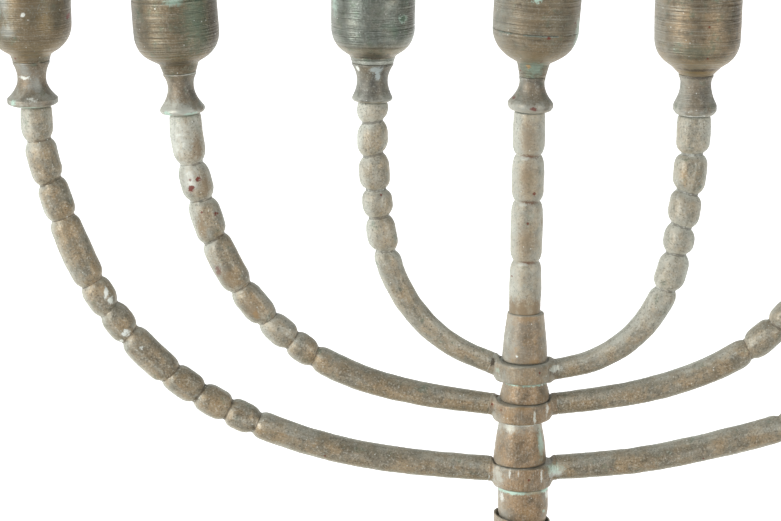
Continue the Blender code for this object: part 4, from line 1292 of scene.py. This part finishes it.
def make_lower_stem():
    """The barrel and collar under the hubs, and the turned stem down to the base."""
    level = Matrix.Translation((0.0, 0.0, ARM_LEVEL * MM))
    barrel = [
        (7.8, -5.4, 0.4),
        (7.8, -13.0, 2.5),
        (7.2, -16.6, 2.0),
        (5.2, -18.0, 0.6),
        (4.0, -18.0, 0.0),
        (4.0, -5.4, 0.0),
    ]
    cover = Cover(0.1, brush=0.2, amber=0.5)
    bands = ((-7.6, -5.2, VERDIGRIS, 0.9),)
    spots = (
        ((7.2, -3.0, -7.6), (1.4, 3.0, 2.6), WHITE, 0.7),
        ((-6.6, -4.0, -8.2), (1.6, 3.0, 3.6), WHITE, 0.7),
        ((6.3, -4.5, -12.5), (1.2, 2.5, 1.4), VERDIGRIS, 0.6),
    )
    material = aged_brass("lower_barrel", WARM_TONES, cover, 90.0, bands, spots)
    at = Matrix.Translation((0.3 * MM, 0.0, ARM_LEVEL * MM))
    turned("lower_barrel", "stem", "stem", barrel, material, 72, 0.3, at, wear=0.08, seed=90.0)
    make_collar(level)
    shaft = cone_corners(ARM_LEVEL - 24.3 - 80.15, 9.8, 7.6)
    at = Matrix.Translation((0.0, 0.0, 80.15 * MM))
    stem = aged_brass("stem", WARM_TONES, Cover(0.1, brush=0.3), 91.0)
    turned("stem_shaft", "stem", "stem", shaft, stem, 72, at=at, wear=0.07, seed=91.0)
    knop = [(8.0, 79.85, 0.3)]
    for i in range(1, 16):
        turn = math.pi * i / 16
        knop.append((8.0 + 5.5 * math.sin(turn), 69.0 + 10.85 * math.cos(turn), 0.0))
    knop += [(8.0, 58.15, 0.3), (4.0, 58.15, 0.0), (4.0, 79.85, 0.0)]
    turned("stem_knop", "stem", "stem", knop, stem, 80, wear=0.07, seed=92.0)
    foot = [
        (9.5, 57.85, 0.5),
        (9.5, 55.4, 0.5),
        (8.0, 54.4, 0.6),
        (7.2, 49.5, 4.0),
        (8.2, 43.7, 4.0),
        (12.0, 37.9, 0.8),
        (13.0, 37.2, 0.4),
        (13.0, 34.15, 0.4),
        (4.0, 34.15, 0.0),
        (4.0, 57.85, 0.0),
    ]
    turned("stem_foot", "stem", "stem", foot, stem, 80, wear=0.07, seed=93.0)


def make_collar(level):
    """The dished collar, whose rim is cut on a slant."""
    corners = [
        (8.8, -12.6, 0.0),
        (8.8, -23.2, 0.6),
        (8.0, -24.0, 0.4),
        (4.0, -24.0, 0.0),
        (4.0, -18.3, 0.0),
        (8.25, -18.3, 0.0),
        (8.25, -12.6, 0.0),
    ]
    mesh = turned_mesh("stem_collar", corners, 72, 0.35)
    points = numbers(mesh.vertices, "co", 3)
    slope = math.tan(math.radians(9.0))
    rim = -15.6 - points[:, 0] * slope
    floor = -18.3
    share = np.clip((points[:, 2] - floor) / (-12.6 - floor), 0, 1)
    high = points[:, 2] > floor
    points[high, 2] = (floor + (rim - floor) * share)[high]
    mesh.vertices.foreach_set("co", np.float32(points).ravel())
    mesh.update()
    material = aged_brass("stem_collar", WARM_TONES, Cover(0.0, amber=0.6), 94.0)
    obj = finish_piece("stem_collar", mesh, "hub", material, 0.05, 94.0)
    obj.matrix_world = level
    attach(obj, "stem")


def make_base():
    """The domed base with turned steps and a rolled rim."""
    corners = [(3.0, 34.0, 0.0), (14.0, 34.0, 0.5), (14.0, 32.0, 0.3)]
    for i in range(1, 20):
        share = i / 20
        fall = 0.5 - 0.5 * math.cos(math.pi * share)
        corners.append((14.0 + 43.0 * share, 32.0 - 24.0 * fall, 0.0))
    corners += [
        (57.0, 8.0, 0.5),
        (64.85, 4.5, 1.2),
        (64.85, 0.12, 0.6),
        (60.0, 0.12, 0.4),
        (60.0, 3.5, 0.4),
    ]
    for i in range(20, 0, -2):
        share = i / 20
        fall = 0.5 - 0.5 * math.cos(math.pi * share)
        corners.append((13.0 + 43.0 * share, 29.5 - 24.0 * fall, 0.0))
    corners.append((13.0, 29.5, 0.0))
    corners.append((3.0, 29.5, 0.0))
    material = aged_brass("base", WARM_TONES, Cover(0.05, lines=0.4, chalk=0.6), 95.0)
    turned("base_dome", "stem", "base", corners, material, 144, 0.9, wear=0.08, seed=95.0)


# --- Stage --------------------------------------------------------------------------------------
def make_floor():
    """A wide pale floor that is lit from inside, like a light table, behind the piece."""
    bpy.ops.mesh.primitive_plane_add(size=14.0, location=(0.0, 0.0, 0.0))
    floor = bpy.context.active_object
    floor.name = "floor"
    m = Metal("floor")
    place = m.node("NewGeometry")
    behind = m.node("SeparateXYZ", {0: place}, output=1)
    inputs = {
        "Base Color": (0.85, 0.85, 0.85, 1.0),
        "Roughness": 0.8,
        "Emission Color": (1.0, 1.0, 1.0, 1.0),
        "Emission Strength": m.between(behind, -0.15, 0.3),
    }
    floor.data.materials.append(m.shade(inputs))


def make_light(name, azimuth, elevation, distance, size, watts):
    """A soft rectangular lamp aimed at the cups. Azimuth 0 is behind the camera, + to the right."""
    a, e = math.radians(azimuth), math.radians(elevation)
    target = Vector((0.0, 0.0, 0.2))
    place = target + distance * Vector(
        (math.sin(a) * math.cos(e), -math.cos(a) * math.cos(e), math.sin(e))
    )
    lamp = bpy.data.lights.new(name, "AREA")
    lamp.shape = "RECTANGLE"
    lamp.size, lamp.size_y = size
    lamp.energy = watts
    obj = bpy.data.objects.new(name, lamp)
    obj.location = place
    obj.rotation_euler = (target - place).to_track_quat("-Z", "Y").to_euler()
    bpy.context.scene.collection.objects.link(obj)


def make_world():
    """A pale studio: bright behind and at the left, dimmer above and in front, dark at the right."""
    world = bpy.data.worlds.new("studio")
    world.use_nodes = True
    nodes = Nodes(world.node_tree)
    background = world.node_tree.nodes["Background"]
    direction = nodes.node("TexCoord", output="Generated")
    parts = nodes.node("SeparateXYZ", {0: direction}).node.outputs
    total = 0.6
    for axis, weight in (("X", -0.12), ("Y", 0.34), ("Z", -0.15)):
        terms = {0: parts[axis], 1: weight, 2: total}
        total = nodes.node("Math", terms, operation="MULTIPLY_ADD")
    darker = nodes.between(parts["X"], 0.35, 0.9, 0.0, -0.3)
    nodes.feed(background.inputs["Strength"], nodes.plus(total, darker))
    background.inputs["Color"].default_value = (1.0, 1.0, 1.0, 1.0)
    bpy.context.scene.world = world


def make_camera():
    camera = bpy.data.cameras.new("camera")
    camera.sensor_width = 36.0
    camera.lens = 137.36
    camera.clip_start = 0.05
    obj = bpy.data.objects.new("camera", camera)
    obj.location = (-0.0410, -0.88779, 0.42453)
    obj.rotation_euler = (math.radians(76.8), 0.0, 0.0)
    bpy.context.scene.collection.objects.link(obj)
    bpy.context.scene.camera = obj


def main():
    make_world()
    make_floor()
    make_light("left_box", -54.0, 16.0, 1.1, (0.45, 0.9), 8.6)
    make_light("right_box", 46.0, 16.0, 1.1, (0.36, 0.9), 4.6)
    make_camera()
    make_arms()
    make_hubs()
    make_cups()
    make_cones()
    make_column()
    make_lower_stem()
    make_base()
    for name in ("tie_rod", "base_nut", "base_washer"):
        for slot in frame["nodes"][name].material_slots:
            slot.material = FIXING
    bpy.context.scene.view_settings.view_transform = "Standard"


main()
